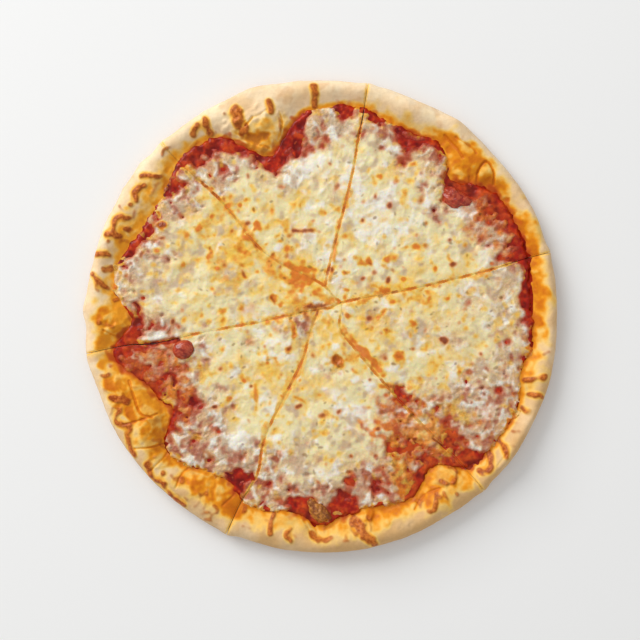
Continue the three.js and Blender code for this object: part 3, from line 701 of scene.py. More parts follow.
# Cheese: a melted sheet with the shreds still showing in it.
cheese = {
    "shreds": {  # how many, lengths and widths
        "melted": (2600, (6, 15), (2.6, 5)),
        "crisp": (5200, (3, 9), (1.3, 2.7)),
        "oiled": (700, (3, 10), (1.4, 3)),
    },
    "specks": {  # how many, lengths, how slim, how soft at the edge
        "pits": (420, (2.5, 7), (0.45, 0.9), 0.9),
        "crumbs": (700, (1.8, 5), (0.45, 0.9), 0.5),
        "oil": (430, (1.8, 5.5), (0.45, 0.9), 0.9),
        "blush": (170, (3, 9), (0.45, 0.9), 0.9),
        "toast": (230, (1.8, 4.5), (0.45, 0.9), 0.7),
        "herbs": (620, (1.2, 3), (0.3, 0.6), 0.7),
    },
    "bottom": dough["thickness"] + 0.5,
    "reach": 3.5,  # how far past the rim's foot its mesh runs
    "pitch": 0.52,
    "shares": ["bare", "wet", "gold", "oil", "pink", "grey", "toast", "herb", "white", "film"],
    "margin": -2.2,  # how far inside the foot its edge stays; below 0 it runs up the rim
    "raggedness": [(9, 1.5), (4, 1.1), (2, 0.4)],  # width and reach of its edge's unevenness
    "bareShare": 1.1,  # of the bare bands, what no film of cheese has run over
    "fade": 8,  # how far in from its edge it is as thick as elsewhere
    "sheet": 1.45,
    "thinner": 0.4,  # where it is wet
    "swell": [(20, 0.26), (9, 0.2), (4.5, 0.06)],  # width and height of its rise and fall
    "strand": 0.62,  # how far a strand stands up where the cheese is dry
    "wetStrand": 0.74,
    "creases": [  # points, width, depth
        ([(59.2, -77.1), (61.8, -79.7), (65, -80.6)], 1.8, 1),
        ([(71.4, -75.8), (76.5, -79.7), (80.3, -82.9)], 1.6, 1),
        ([(57, -57), (60, -61.5)], 2.6, 0.8),
    ],
    "islands": [  # bits of cheese out on the sauce: x, y, length, width, turn, strength
        (36, 117, 16, 8, -15, 0.5), (66, 106, 14, 7, -35, 0.5), (110, 66, 7, 5, 30, 0.9),
        (116, 58, 6, 8, 10, 0.9), (104, 52, 8, 5, -20, 0.9), (98, 72, 7, 6, 0, 1),
        (112, 46, 12, 4, 12, 0.8), (119, 52, 5, 8, 10, 0.7), (-111.7, -25.5, 28, 9, 5, 1),
        (-105.3, -34.2, 14, 9, 20, 1), (-88, -48.3, 11, 30, 5, 0.9), (93, 66, 12, 14, 0, 1),
        (106, 60, 14, 16, 20, 0.6), (112, 50, 15, 7, 15, 0.7), (119, 44, 12, 3.4, 15, 0.9),
        (104, 74, 6, 8, 0, 0.5), (60, 116, 16, 5, -25, 0.6), (44, 120, 10, 4, -20, 0.5),
        (-62, 102, 18, 5, 20, 0.6), (-20, 108, 10, 4, 40, 0.5), (-104, -22, 16, 6, 20, 0.5),
        (-98, -48, 8, 16, 10, 0.6), (122, 0, 4, 16, 0, 0.5), (-24, -118, 14, 5, -10, 0.7),
        (70, -82, 10, 5, 20, 0.6), (88, -84, 10, 5, 40, 0.5), (-72, 98, 10, 4, 35, 0.6),
        (-86, 90, 5, 8, 60, 0.55), (-50, 105, 9, 3.5, 10, 0.5), (-14, 118, 4, 10, 20, 0.55),
        (78, -94, 9, 4, 30, 0.55), (104, -76, 6, 5, 40, 0.5), (-60, -101, 7, 4, 20, 0.5),
        (122, 22, 3, 9, 0, 0.5), (74, 98, 7, 4, -40, 0.5),
    ],
    "folds": [  # points, width, height
        ([(61, -64), (65.6, -70.7), (71, -78)], 15, 1.5), ([(48, -68), (58, -74)], 4, 0.6),
        ([(46, -94), (52, -104)], 6, 0.6), ([(94, 84), (98, 96)], 7, 0.8),
    ],
    "wetFrom": [  # bearing, and the distance out where sauce and oil have mixed into it
        (0, 122), (20, 120), (30, 113), (40, 103), (50, 110), (60, 115), (70, 121), (80, 126),
        (90, 112), (98, 98), (106, 97), (115, 110), (125, 107), (135, 103), (145, 111), (155, 112),
        (165, 117), (175, 112), (184, 84), (195, 81), (205, 83), (215, 82), (225, 87), (235, 91),
        (245, 88), (255, 96), (265, 104), (275, 99), (285, 98), (295, 90), (305, 70), (315, 64),
        (323, 78), (331, 87), (341, 104), (351, 115),
    ],
    "meets": [  # at, span, how much farther out the cheese runs
        (8, 6, -3.5), (36, 3, -7), (48, 4, -1), (60, 2.5, -2.5), (82, 3, -1.5), (100, 2, 5),
        (107, 4, -5), (121, 4, -5.5), (128, 4, -6), (136, 2.5, -3.5), (154, 4, -2), (168, 6, 2),
        (200, 3, -5), (210, 4, -5), (228, 7, 2), (244, 4, -4), (257, 2, 2), (261, 2, -3),
        (268, 3, -6), (276, 1.5, 4), (288, 3, -2), (298, 4, -6), (304, 4, -5.5), (311, 4, -4),
        (318, 3, 3), (338, 12, 3),
    ],
}


def specks(kind):  # small ovals scattered over the topping
    count, sizes, slim, soft = cheese["specks"][kind]
    field = blank()
    reach = outline["radius"] - scatterIn["specks"]
    for _ in range(count):
        x, y = fromMiddle(draw.uniform(0, 360), reach * math.sqrt(draw.uniform()))
        length = draw.uniform(*sizes)
        width = length * draw.uniform(*slim)
        patch(field, x, y, length, width, draw.uniform(0, 180), draw.uniform(0.35, 1), soft=soft)
    return field


def cheeseForm():  # its heights, and the shares that its colours follow
    meets = addBumps(planBearing, cheese["meets"], 2)
    edge = planRim["foot"] - cheese["margin"] - cheese["bareShare"] * planRim["bare"] + meets
    inside = edge - planDistance + rough(*cheese["raggedness"])
    opened = markField("open", soft=0.6, ragged=0.35)
    torn = markField("torn", soft=0.7)
    pinker = markField("thin", soft=0.8)
    whiter = markField("white", soft=0.7)
    golden = np.clip(markField("golden", soft=0.85) + 0.2 * lumps(14), 0, 1)

    begins = alongTable(planBearing, cheese["wetFrom"])
    wet = smooth(planDistance - begins + rough((15, 5), (6, 3)), -8, 10)
    wet = np.clip(np.maximum(wet, np.maximum(pinker, torn)) * (1 - 0.6 * whiter), 0, 1)
    melted = blurred(shredField(*cheese["shreds"]["melted"]), 0.8)
    crisp = blurred(shredField(*cheese["shreds"]["crisp"]), 0.32)
    strands = melted + (crisp - melted) * (0.6 + 0.4 * wet)
    calm = 1 - 0.6 * smooth(sauceField["film"], 0.2, 0.8)  # oily film runs smoother
    strands = melted + (strands - melted) * calm
    pits = specks("pits") * smooth(wet, 0.3, 0.8) * calm
    holes = rough((3.8, 0.8), (9, 0.6)) + 0.6 * wet + 1.2 * torn
    opened = np.maximum(opened, smooth(holes, 1.3, 3.2) * smooth(wet, 0.2, 0.7))

    folds = merged(stroke, cheese["folds"], edge=1.5, ragged=0.2)
    creases = merged(stroke, cheese["creases"], edge=1)
    rise = cheese["strand"] + (cheese["wetStrand"] - cheese["strand"]) * wet
    thick = cheese["sheet"] - cheese["thinner"] * wet + rise * (strands - 0.4)
    thick = thick + rough(*cheese["swell"]) + 0.35 * whiter
    thick = (thick + 0.6) * smooth(inside, -2, cheese["fade"]) - 0.6
    thick = thick - (thick + 0.35) * opened - 0.75 * pits + folds - 0.8 * creases
    islands = piled(patch, cheese["islands"], soft=0.7, ragged=0.4)
    crumbs = specks("crumbs") * smooth(planDistance - edge, 11, 1)
    islands = np.maximum(islands, crumbs * calm)
    islands = islands * (0.6 + 0.8 * strands + 0.25 * lumps(4)) - 0.3
    bits = np.maximum(thick, np.minimum(islands, 0.7))
    thick = np.where(inFromFoot > 0, bits, thick)
    thick = thick + (blurred(thick, 0.6) - thick) * 0.5
    bare = blurred(smooth(thick, 0.9, -0.1), 1)
    rimEdge = smooth(inFromFoot, 7, 1)
    bare *= 1 - rimEdge * (1 - np.clip((planRim["bare"] - meets) / 6, 0, 1))
    rimOil = smooth(inFromFoot + 1.6 * lumps(4), 5, -1) * (0.8 + 0.2 * lumps(7))
    rimOil *= 1 - 0.7 * np.clip((planRim["bare"] - meets) / 8, 0, 1)
    under = sauceField["top"] + (sauceField["even"] - sauceField["top"]) * smooth(thick, 0, 0.7)
    top = under + thick - 0.2 * np.exp(-((cutAway / 0.9) ** 2))
    above = np.clip(sauceField["top"] - top + 0.3, 0, None)
    sauceField["top"] = sauceField["top"] - above * smooth(thick, 0, 0.35)
    return {"top": top, "wet": wet, "bare": bare, "golden": golden, "whiter": whiter,
            "rimOil": rimOil, "strands": strands, "crisp": crisp, "creases": creases}


def cheeseShares(form):
    wet, golden, whiter, strands = (form[each] for each in ("wet", "golden", "whiter", "strands"))
    oily = markField("oil", soft=0.6, ragged=0.3)
    toasted = markField("toast", soft=0.65, ragged=0.3)
    gold = 0.48 * golden + 0.45 * smooth(lumps(12) + 0.3 * lumps(5), -0.4, 1.8)
    spots = specks("oil") * (0.65 + 0.35 * smooth(golden, 0, 0.6))
    streaks = blurred(shredField(*cheese["shreds"]["oiled"]), 0.5)
    streaks *= smooth(golden + 0.3 * lumps(7), 0, 0.7)
    pools = 0.6 * smooth(lumps(5) + 0.6 * lumps(14) + 0.8 * golden, 0.9, 2.6)
    between = golden * smooth(form["crisp"] + 0.15 * lumps(3), 0.62, 0.2)
    pools = np.maximum(pools, 0.5 * between)
    oil = np.maximum(spots * 1.2, np.maximum(streaks, pools))
    oil = np.maximum(oil * (1 - 0.4 * wet) * (1 - 0.7 * whiter), oily)
    seam = smooth(cutAway, 1.4, 0.1) * np.clip(0.66 + 0.22 * lumps(9), 0.25, 0.95)
    burnt = smooth(cutAway, 0.45, 0.05) * np.clip(0.6 * lumps(9) - 0.3, 0, 0.7)
    glow = 0.65 * smooth(cutAway + 1.2 * lumps(6), 3.5, 0.3) * smooth(lumps(16), -1, 1)
    grey = smooth(lumps(4.5) + 0.9 * lumps(13) + 0.9 * wet, 0.3, 3)
    pink = wet * smooth(0.8 * lumps(4) + 0.7 * lumps(9) - 2.2 * (strands - 0.45), -0.9, 1.6)
    white = whiter + 0.5 * smooth(lumps(8) + 0.7 * lumps(20), 0.3, 2)
    # painted highlight: the strands' tops are made whiter
    white = white + (0.5 + 0.4 * wet) * smooth(strands, 0.42, 0.85)
    blush = specks("blush") * (1 - wet) * smooth(planDistance, 120, 25)
    shares = {
        "bare": form["bare"],
        "gold": gold,
        "oil": 1.15 * oil,
        "pink": 1.1 * pink + 0.75 * blush,
        # a grey tint, and painted shade where the strands are low
        "grey": grey + 0.35 * smooth(strands, 0.4, 0.12),
        "toast": 1.1 * np.maximum(toasted, 0.95 * specks("toast")),
        "white": white,
        "film": sauceField["film"] * (0.8 + 0.3 * lumps(4)),
    }
    shares = {name: np.clip(blurred(field, 0.65), 0, 1) for name, field in shares.items()}
    for oiled in (form["rimOil"], seam, glow):
        shares["oil"] = np.maximum(shares["oil"], oiled)
    # burnt bits along the cuts, and painted shade in the cheese's creases
    for browned in (burnt, blurred(form["creases"], 0.3)):
        shares["toast"] = np.maximum(shares["toast"], browned)
    shares["herb"] = blurred(specks("herbs"), 0.4)
    return shares


cheeseField = cheeseForm()
cheeseField |= cheeseShares(cheeseField)
print("cheese laid out")


# Meshes: a flat grid whose edge is drawn down in rings, then moved into a slice's shape.
def meshOf(shape, name):
    mesh = bpy.data.meshes.new(name)
    shape.to_mesh(mesh)
    shape.free()
    return mesh


def addObject(name, data):
    added = bpy.data.objects.new(name, data)
    bpy.context.scene.collection.objects.link(added)
    return added


def gridShell(columns, rows, rings):
    shape = bmesh.new()
    bmesh.ops.create_grid(shape, x_segments=columns, y_segments=rows, size=0.5)
    edge = [e for e in shape.edges if e.is_boundary]
    for _ in range(rings):
        drawn = bmesh.ops.extrude_edge_only(shape, edges=edge)["geom"]
        moved = [part for part in drawn if isinstance(part, bmesh.types.BMVert)]
        bmesh.ops.translate(shape, verts=moved, vec=(0, 0, -1))
        edge = [part for part in drawn if isinstance(part, bmesh.types.BMEdge) and part.is_boundary]
    return meshOf(shape, "shell")


def placesOf(mesh):
    places = np.empty(len(mesh.vertices) * 3, np.float32)
    mesh.vertices.foreach_get("co", places)
    return places.reshape(-1, 3).astype(float)


def setPlaces(mesh, x, y, z):
    places = np.stack([x, y, z], axis=1) * mm
    mesh.vertices.foreach_set("co", places.astype(np.float32).ravel())
    mesh.update()


def closeShell(mesh):  # merges the tip, fills the underside
    shape = bmesh.new()
    shape.from_mesh(mesh)
    bmesh.ops.remove_doubles(shape, verts=shape.verts, dist=1e-6)
    loose = [e for e in shape.edges if not e.link_faces]
    bmesh.ops.delete(shape, geom=loose, context="EDGES")
    lowest = [e for e in shape.edges if e.is_boundary]
    filled = bmesh.ops.holes_fill(shape, edges=lowest, sides=0)["faces"]
    bmesh.ops.triangulate(shape, faces=filled, ngon_method="EAR_CLIP")
    bmesh.ops.recalc_face_normals(shape, faces=shape.faces)
    shape.to_mesh(mesh)
    shape.free()


def addPiece(name, mesh, material, slot, *nodes):
    mesh.name = name
    mesh.shade_smooth()
    mesh.materials.append(material)
    piece = addObject(name, mesh)
    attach(piece, "root")
    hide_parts(*nodes)


def setShares(mesh, **shares):
    for name, values in shares.items():
        layer = mesh.attributes.new(name, "FLOAT", "POINT")
        layer.data.foreach_set("value", np.ascontiguousarray(values, np.float32))


sliceMesh = {
    "tipClearance": 1.2,  # a side's line counts from this far out of the tip
    "beyond": 175,  # farther out than any edge
    "halvings": 30,  # of the search for the edge
    "samples": 9,  # columns that tell how wide a slice is
    "fineColumns": 8,  # columns that stand closer on each side, by the cuts
    "fineShare": 0.5,
}


def sideOf(runs, tip, turn):  # distances and bearings from the tip along one side of a slice
    line = np.concatenate([runOf(*run) for run in runs])
    ahead = np.gradient(line[:, :2], axis=0)
    ahead /= np.maximum(np.linalg.norm(ahead, axis=1), 1e-9)[:, None]
    left = np.stack([-ahead[:, 1], ahead[:, 0]], axis=1)
    half = (line[:, 2:] - knifeGap + closedGap) / 2
    away = line[:, :2] + turn * left * half - tip
    distance = np.hypot(away[:, 0], away[:, 1])
    bearing = np.unwrap(np.arctan2(away[:, 1], away[:, 0]))
    kept = distance > sliceMesh["tipClearance"]
    order = np.argsort(distance[kept])
    return distance[kept][order], bearing[kept][order]


def shapeOf(each):
    name, index = each["tip"]
    tip = np.array(cuts[name][index][:2], float)
    first, last = (runOf(*each[side][0])[3, :2] - tip for side in ("first", "last"))
    first, last = first / np.linalg.norm(first), last / np.linalg.norm(last)
    middle = (first + last) / np.linalg.norm(first + last)
    half = math.acos(np.clip(first @ middle, -1, 1))
    tip = tip + middle * closedGap / 2 / math.sin(half)
    firstSide = sideOf(each["first"], tip, 1)
    lastSide = sideOf(each["last"], tip, -1)
    if lastSide[1][0] < firstSide[1][0]:
        lastSide = (lastSide[0], lastSide[1] + 2 * math.pi)
    if lastSide[1][0] - firstSide[1][0] > 2 * math.pi:
        lastSide = (lastSide[0], lastSide[1] - 2 * math.pi)
    return {"tip": tip, "first": firstSide, "last": lastSide}


def onSlice(shape, across, out):  # a share across the slice, and a distance out from its tip
    first = np.interp(out, *shape["first"])
    last = np.interp(out, *shape["last"])
    bearing = first + (last - first) * across
    return shape["tip"][0] + out * np.cos(bearing), shape["tip"][1] + out * np.sin(bearing)


def reachOf(shape, across, limit):  # how far out each column runs before it meets the limit
    low, high = np.zeros_like(across), np.full_like(across, sliceMesh["beyond"])
    for _ in range(sliceMesh["halvings"]):
        middle = (low + high) / 2
        x, y = onSlice(shape, across, middle)
        past = np.hypot(x, y) > limit(bearingOf(x, y))
        low, high = np.where(past, low, middle), np.where(past, middle, high)
    return low


def columnShares(count):  # columns stand closer by the cuts
    widths = np.ones(count)
    fine = sliceMesh["fineColumns"]
    widths[:fine] = widths[-fine:] = sliceMesh["fineShare"]
    return np.concatenate([[0], np.cumsum(widths) / widths.sum()])


def sliceShell(shape, limit, pitch, inward, rings):
    # inward: distances in from the outer edge at which the rows stand, up to the longest column
    samples = np.linspace(0, 1, sliceMesh["samples"])
    x, y = onSlice(shape, samples, reachOf(shape, samples, limit))
    arc = np.hypot(np.diff(x), np.diff(y)).sum()
    columns = columnShares(int(arc / pitch))
    reach = reachOf(shape, columns, limit)
    longest = reach.max()
    rows = np.concatenate([inward[inward < longest - pitch], [longest]])
    mesh = gridShell(len(columns) - 1, len(rows) - 1, rings)
    places = placesOf(mesh)
    column = np.rint((places[:, 0] + 0.5) * (len(columns) - 1)).astype(int)
    row = np.rint((places[:, 1] + 0.5) * (len(rows) - 1)).astype(int)
    level = np.rint(-places[:, 2]).astype(int)
    return mesh, columns[column], reach[column], rows[row], longest, level / rings


def outFrom(reach, inward, longest):  # rows keep their spacing outside and all meet at the tip
    return reach - inward * (1 - (1 - reach / longest) * inward / longest)


crustMesh = {
    "pitch": 0.55,
    "fineUntil": 46,  # how far in the rows stand close
    "finePitch": 0.55,
    "coarsePitch": 4,
    "rings": 7,  # down its edge
    "steep": 6,  # how far in the rim's outside stands steep
    "degreesPerRow": 6,  # of that steep turn
    "tuckFade": 14,  # how far in a row stands that the tuck no longer moves
    "aslant": (1.7, -1.3),  # how the relief runs on down the outside, for each mm of height
    "outsideRelief": 0.6,
    "calmTip": (20, 40),  # distances at which the relief begins, and is whole
    "fades": {  # depths down a cut at which a share is gone, and at which it is whole
        "stain": (4, 1.5),
        "baked": (3, 1),
        "bled": (4, 1.5),
        "smudge": (4, 1.5),
    },
}


def crustRows():
    turned = np.radians(np.arange(0, 90, crustMesh["degreesPerRow"]))
    outer = crustMesh["steep"] * (1 - np.cos(turned))
    fine = np.arange(outer[-1] + 0.5, crustMesh["fineUntil"], crustMesh["finePitch"])
    coarse = np.arange(fine[-1] + 1, sliceMesh["beyond"], crustMesh["coarsePitch"])
    return np.concatenate([outer, fine, coarse])


def makeCrust(shape, number, material):
    mesh, across, reach, inward, longest, level = sliceShell(
        shape, lambda bearing: rimAt(bearing)["outside"], crustMesh["pitch"], crustRows(),
        crustMesh["rings"])
    under = dough["tuck"] * (1 - np.cos(level * math.pi / 2))
    inward = inward + under * np.clip(1 - inward / crustMesh["tuckFade"], 0, 1)
    x, y = onSlice(shape, across, outFrom(reach, np.minimum(inward, longest), longest))
    bearing = bearingOf(x, y)
    rim = rimAt(bearing)
    distance = np.hypot(x, y)
    top = groundAt(x, y)
    onEdge = level > 0
    outer = np.clip((distance - rim["crest"]) / (rim["outside"] - rim["crest"]), 0, 1)
    untucked = np.minimum(inward - under, longest)
    topOut = groundAt(*onSlice(shape, across, outFrom(reach, untucked, longest)))
    z = np.where(onEdge, topOut * (1 - np.sin(level * math.pi / 2)), top)
    away = np.where(onEdge, np.cos(level * math.pi / 2) * (inward - under < 1), outer)
    up = np.where(onEdge, 0, np.sqrt(1 - outer**2))
    relief = sample(crustField["relief"], x, y)
    right, back = crustMesh["aslant"]
    uneven = sample(crustField["relief"], x + right * z, y + back * z)
    swing = relief * up + crustMesh["outsideRelief"] * uneven * (1 - up) * away
    angle = np.radians(bearing)
    x = x + away * swing * np.cos(angle)
    y = y + away * swing * np.sin(angle)
    z = np.where(onEdge, z, z + up * swing * smooth(distance, *crustMesh["calmTip"]))
    setPlaces(mesh, x, y, z)
    closeShell(mesh)
    x, y, z = (placesOf(mesh) / mm).T
    rim = rimAt(bearingOf(x, y))
    depth = groundAt(x, y) - z
    shares = {name: sample(field, x, y) for name, field in crustField.items() if name != "relief"}
    for name, (gone, whole) in crustMesh["fades"].items():
        shares[name] *= smooth(depth, gone, whole)
    # browner underside, and painted shade up the lower outside of the rim
    shares["under"] = smooth(rim["widest"] - z, -5, 4)
    shares["crumb"] = smooth(depth, 1.5, 4) * smooth(sample(cutAway, x, y), 2.5, 1.5)
    setShares(mesh, **shares)
    addPiece(f"crustSlice{number}", mesh, material, "crust", f"crust_{number}")


layerMesh = {"rings": 3, "least": 0.35}  # rings down its edge, and how thin it may be


def makeLayer(shape, number, material, kind, settings, field):
    mesh, across, reach, inward, longest, level = sliceShell(
        shape, lambda bearing: rimAt(bearing)["foot"] + settings["reach"], settings["pitch"],
        np.arange(0, sliceMesh["beyond"], settings["pitch"]), layerMesh["rings"])
    x, y = onSlice(shape, across, outFrom(reach, inward, longest))
    top = sample(field["top"], x, y)
    floor = np.minimum(settings["bottom"], top - layerMesh["least"])
    z = top + (floor - top) * level
    setPlaces(mesh, x, y, z)
    closeShell(mesh)
    x, y, z = (placesOf(mesh) / mm).T
    setShares(mesh, **{name: sample(field[name], x, y) for name in settings["shares"]})
    addPiece(f"{kind}Slice{number}", mesh, material, kind, f"{kind}_{number}")


# Materials.
class Wire:  # a value in a material's tree; sums on it add Math nodes
    def __init__(self, finish, socket):
        self.finish = finish
        self.socket = socket

    def sum(self, operation, first, second):
        return self.finish.add("ShaderNodeMath", {"operation": operation}, {0: first, 1: second})

    def __add__(self, other):
        return self.sum("ADD", self, other)

    def __radd__(self, other):
        return self.sum("ADD", other, self)

    def __sub__(self, other):
        return self.sum("SUBTRACT", self, other)

    def __rsub__(self, other):
        return self.sum("SUBTRACT", other, self)

    def __mul__(self, other):
        return self.sum("MULTIPLY", self, other)

    def __rmul__(self, other):
        return self.sum("MULTIPLY", other, self)


class Finish:  # a material, its node tree and its named colours
    def __init__(self, name, paints=None):
        self.paints = paints
        self.material = bpy.data.materials.new(name)
        self.material.use_nodes = True
        self.tree = self.material.node_tree
        self.tree.nodes.clear()
        self.place = self.add("ShaderNodeTexCoord", output="Object")

    def add(self, kind, settings=None, values=None, output=0):
        node = self.tree.nodes.new(kind)
        for name, value in (settings or {}).items():
            setattr(node, name, value)
        for name, value in (values or {}).items():
            if isinstance(value, Wire):
                self.tree.links.new(value.socket, node.inputs[name])
            else:
                node.inputs[name].default_value = value
        return Wire(self, node.outputs[output]) if node.outputs else None

    def share(self, name):
        return self.add("ShaderNodeAttribute", {"attribute_name": name}, output="Fac")

    def noise(self, size, detail=3, roughness=0.55, distortion=0.0):  # about 0 to 1
        values = {"Vector": self.place, "Scale": 1 / (size * mm), "Detail": detail,
                  "Roughness": roughness, "Distortion": distortion}
        return self.add("ShaderNodeTexNoise", {}, values, "Fac")

    def ease(self, value, low, high):
        values = {"Value": value, "From Min": low, "From Max": high}
        return self.add("ShaderNodeMapRange", {"interpolation_type": "SMOOTHSTEP"}, values)

    def mix(self, share, first, second, blend="MIX"):  # colours by name, or mixed before
        first, second = (
            shade(*self.paints[each]) if isinstance(each, str) else each
            for each in (first, second)
        )
        settings = {"data_type": "RGBA", "blend_type": blend, "clamp_factor": True}
        return self.add("ShaderNodeMix", settings, {0: share, 6: first, 7: second}, 2)

    def over(self, colour, paint, share, low, high, most=None, blend="MIX"):
        # lays paint on colour where share is high; most is how far it may cover
        share = self.ease(share, low, high)
        return self.mix(share if most is None else share * most, colour, paint, blend)

    def bump(self, height, distance, strength=1.0):
        values = {"Height": height, "Distance": distance * mm, "Strength": strength}
        return self.add("ShaderNodeBump", {}, values, "Normal")

    def close(self, values):
        shader = self.add("ShaderNodeBsdfPrincipled", {}, values)
        self.add("ShaderNodeOutputMaterial", {}, {"Surface": shader})
        return self.material


def shade(red, green, blue):  # a screen colour as the light it stands for
    light = [(c / 255 / 12.92) if c < 10.3 else ((c / 255 + 0.055) / 1.055) ** 2.4
             for c in (red, green, blue)]
    return (*light, 1)


crustPaints = {
    "dough": (248, 224, 184),
    "warmDough": (248, 213, 168),
    "flour": (244, 224, 192),
    "scorch": (216, 156, 92),
    "paintedSideShade": (216, 168, 104),
    "undersideBrowningAndShade": (200, 152, 106),
    "butter": (250, 206, 108),
    "amber": (242, 156, 20),
    "darkAmber": (206, 104, 10),
    "litAmber": (255, 178, 50),
    "bled": (206, 98, 22),
    "darkBled": (170, 44, 14),
    "smudge": (190, 112, 36),
    "darkShred": (148, 56, 8),
    "paleShred": (218, 120, 44),
    "shredEdge": (206, 106, 14),
    "paintedShredShade": (124, 54, 18),
    "crumb": (236, 190, 120),
    # painted shade, multiplied in as fine speckles
    "fine": (150, 140, 130),
}


def crustFinish():
    look = Finish("bakedCrust", crustPaints)
    share = look.share
    fine = look.noise(2.2, 4)
    coarse = look.noise(14, 3)
    wander = look.noise(6, 2) - 0.5
    colour = look.over("dough", "warmDough", coarse, 0.3, 0.7)
    floury = share("flour") * look.ease(look.noise(5, 3), 0.3, 0.6)
    colour = look.mix(floury * 0.6, colour, "flour")
    colour = look.mix(share("scorch") * 0.35, colour, "scorch")
    # painted shade round the side away from the light
    colour = look.mix(share("paintedSideShade") * 0.85, colour, "paintedSideShade")
    # browner underside, and painted shade up the lower outside of the rim
    colour = look.mix(share("under") * 0.75, colour, "undersideBrowningAndShade")
    # painted shade: the creases and hollows are darkened along with the stain
    paintedLight, stain = share("paintedLight"), share("stain") + share("sunk") * 0.3
    # painted light: less dark amber there, and a lit amber laid over the stain
    spread = stain + wander * 0.5 - paintedLight * 0.15
    colour = look.over(colour, "butter", spread, 0.0, 0.55)
    colour = look.over(colour, "amber", spread, 0.3, 0.8)
    colour = look.over(colour, "darkAmber", spread, 0.62, 1.1, 0.85)
    colour = look.over(colour, "litAmber", stain, 0.2, 0.7, paintedLight * 0.4)
    bled = share("bled") + wander * 0.4
    colour = look.over(colour, "bled", bled, 0.3, 0.9, 0.9)
    colour = look.over(colour, "darkBled", bled, 0.75, 1.15, 0.8)
    colour = look.over(colour, "smudge", share("smudge") + wander * 0.4, 0.1, 0.9, 0.65)
    baked, browned = share("baked"), share("browned")
    paler = look.noise(2.2, 2) + baked * 0.15
    brown = look.over("darkShred", "paleShred", paler, 0.45, 0.85)
    brown = look.over("shredEdge", brown, browned, 0.0, 0.5)
    colour = look.over(colour, brown, baked, 0.15, 0.95, 0.62 + browned * 0.38)
    # painted shade on the shreds' side away from the light
    colour = look.mix(share("paintedShredShade") * browned * 0.5, colour, "paintedShredShade")
    colour = look.mix(share("crumb") * 0.8, colour, "crumb")
    # painted shade: fine random darker speckles
    colour = look.over(colour, "fine", fine, 0.3, 0.7, 0.12, "MULTIPLY")
    height = look.noise(0.9, 4) * 0.4 + fine * 0.6
    return look.close({
        "Base Color": colour,
        "Roughness": 0.72 - stain * 0.28 - baked * 0.15,
        "Normal": look.bump(height, 0.45, 0.8),
        "Specular IOR Level": 0.18,
    })


saucePaints = {
    "sauce": (152, 6, 2),
    "brightSauce": (200, 44, 8),
    "pulp": (226, 88, 24),
    "film": (214, 92, 22),
    "deep": (98, 4, 2),
    # painted shade, multiplied in as fine speckles
    "fine": (130, 110, 100),
}


def sauceFinish():
    look = Finish("tomatoSauce", saucePaints)
    fine = look.noise(2.0, 4)
    colour = look.over("sauce", "brightSauce", look.noise(6, 2), 0.25, 0.75)
    for name, most in (("pulp", 0.6), ("film", 0.75), ("deep", 0.7)):
        colour = look.mix(look.share(name) * most, colour, name)
    # painted shade: fine random darker speckles
    colour = look.over(colour, "fine", fine, 0.3, 0.7, 0.4, "MULTIPLY")
    height = fine * 0.7 + look.noise(0.8, 3) * 0.5
    return look.close({
        "Base Color": colour,
        "Roughness": 0.2 + fine * 0.25,
        "Normal": look.bump(height, 0.5, 0.5),
        "Specular IOR Level": 0.25,
    })


cheesePaints = {
    "cheese": (240, 226, 174),
    "gold": (246, 202, 104),
    "wet": (222, 176, 132),
    "white": (246, 240, 226),
    "grey": (204, 176, 144),
    "paleMauve": (208, 152, 122),
    "mauve": (172, 78, 48),
    "thinOverSauce": (198, 82, 38),
    "sauce": (160, 24, 3),
    "filmedSauce": (180, 40, 12),
    "oil": (248, 200, 60),
    "darkOil": (224, 120, 14),
    "film": (232, 134, 34),
    "darkFilm": (190, 72, 12),
    "paleFilmAndHighlight": (242, 184, 92),
    "toast": (220, 118, 18),
    "darkToast": (142, 52, 2),
    "herb": (128, 82, 12),
    # painted shade, multiplied in as fine speckles
    "fine": (140, 130, 112),
}


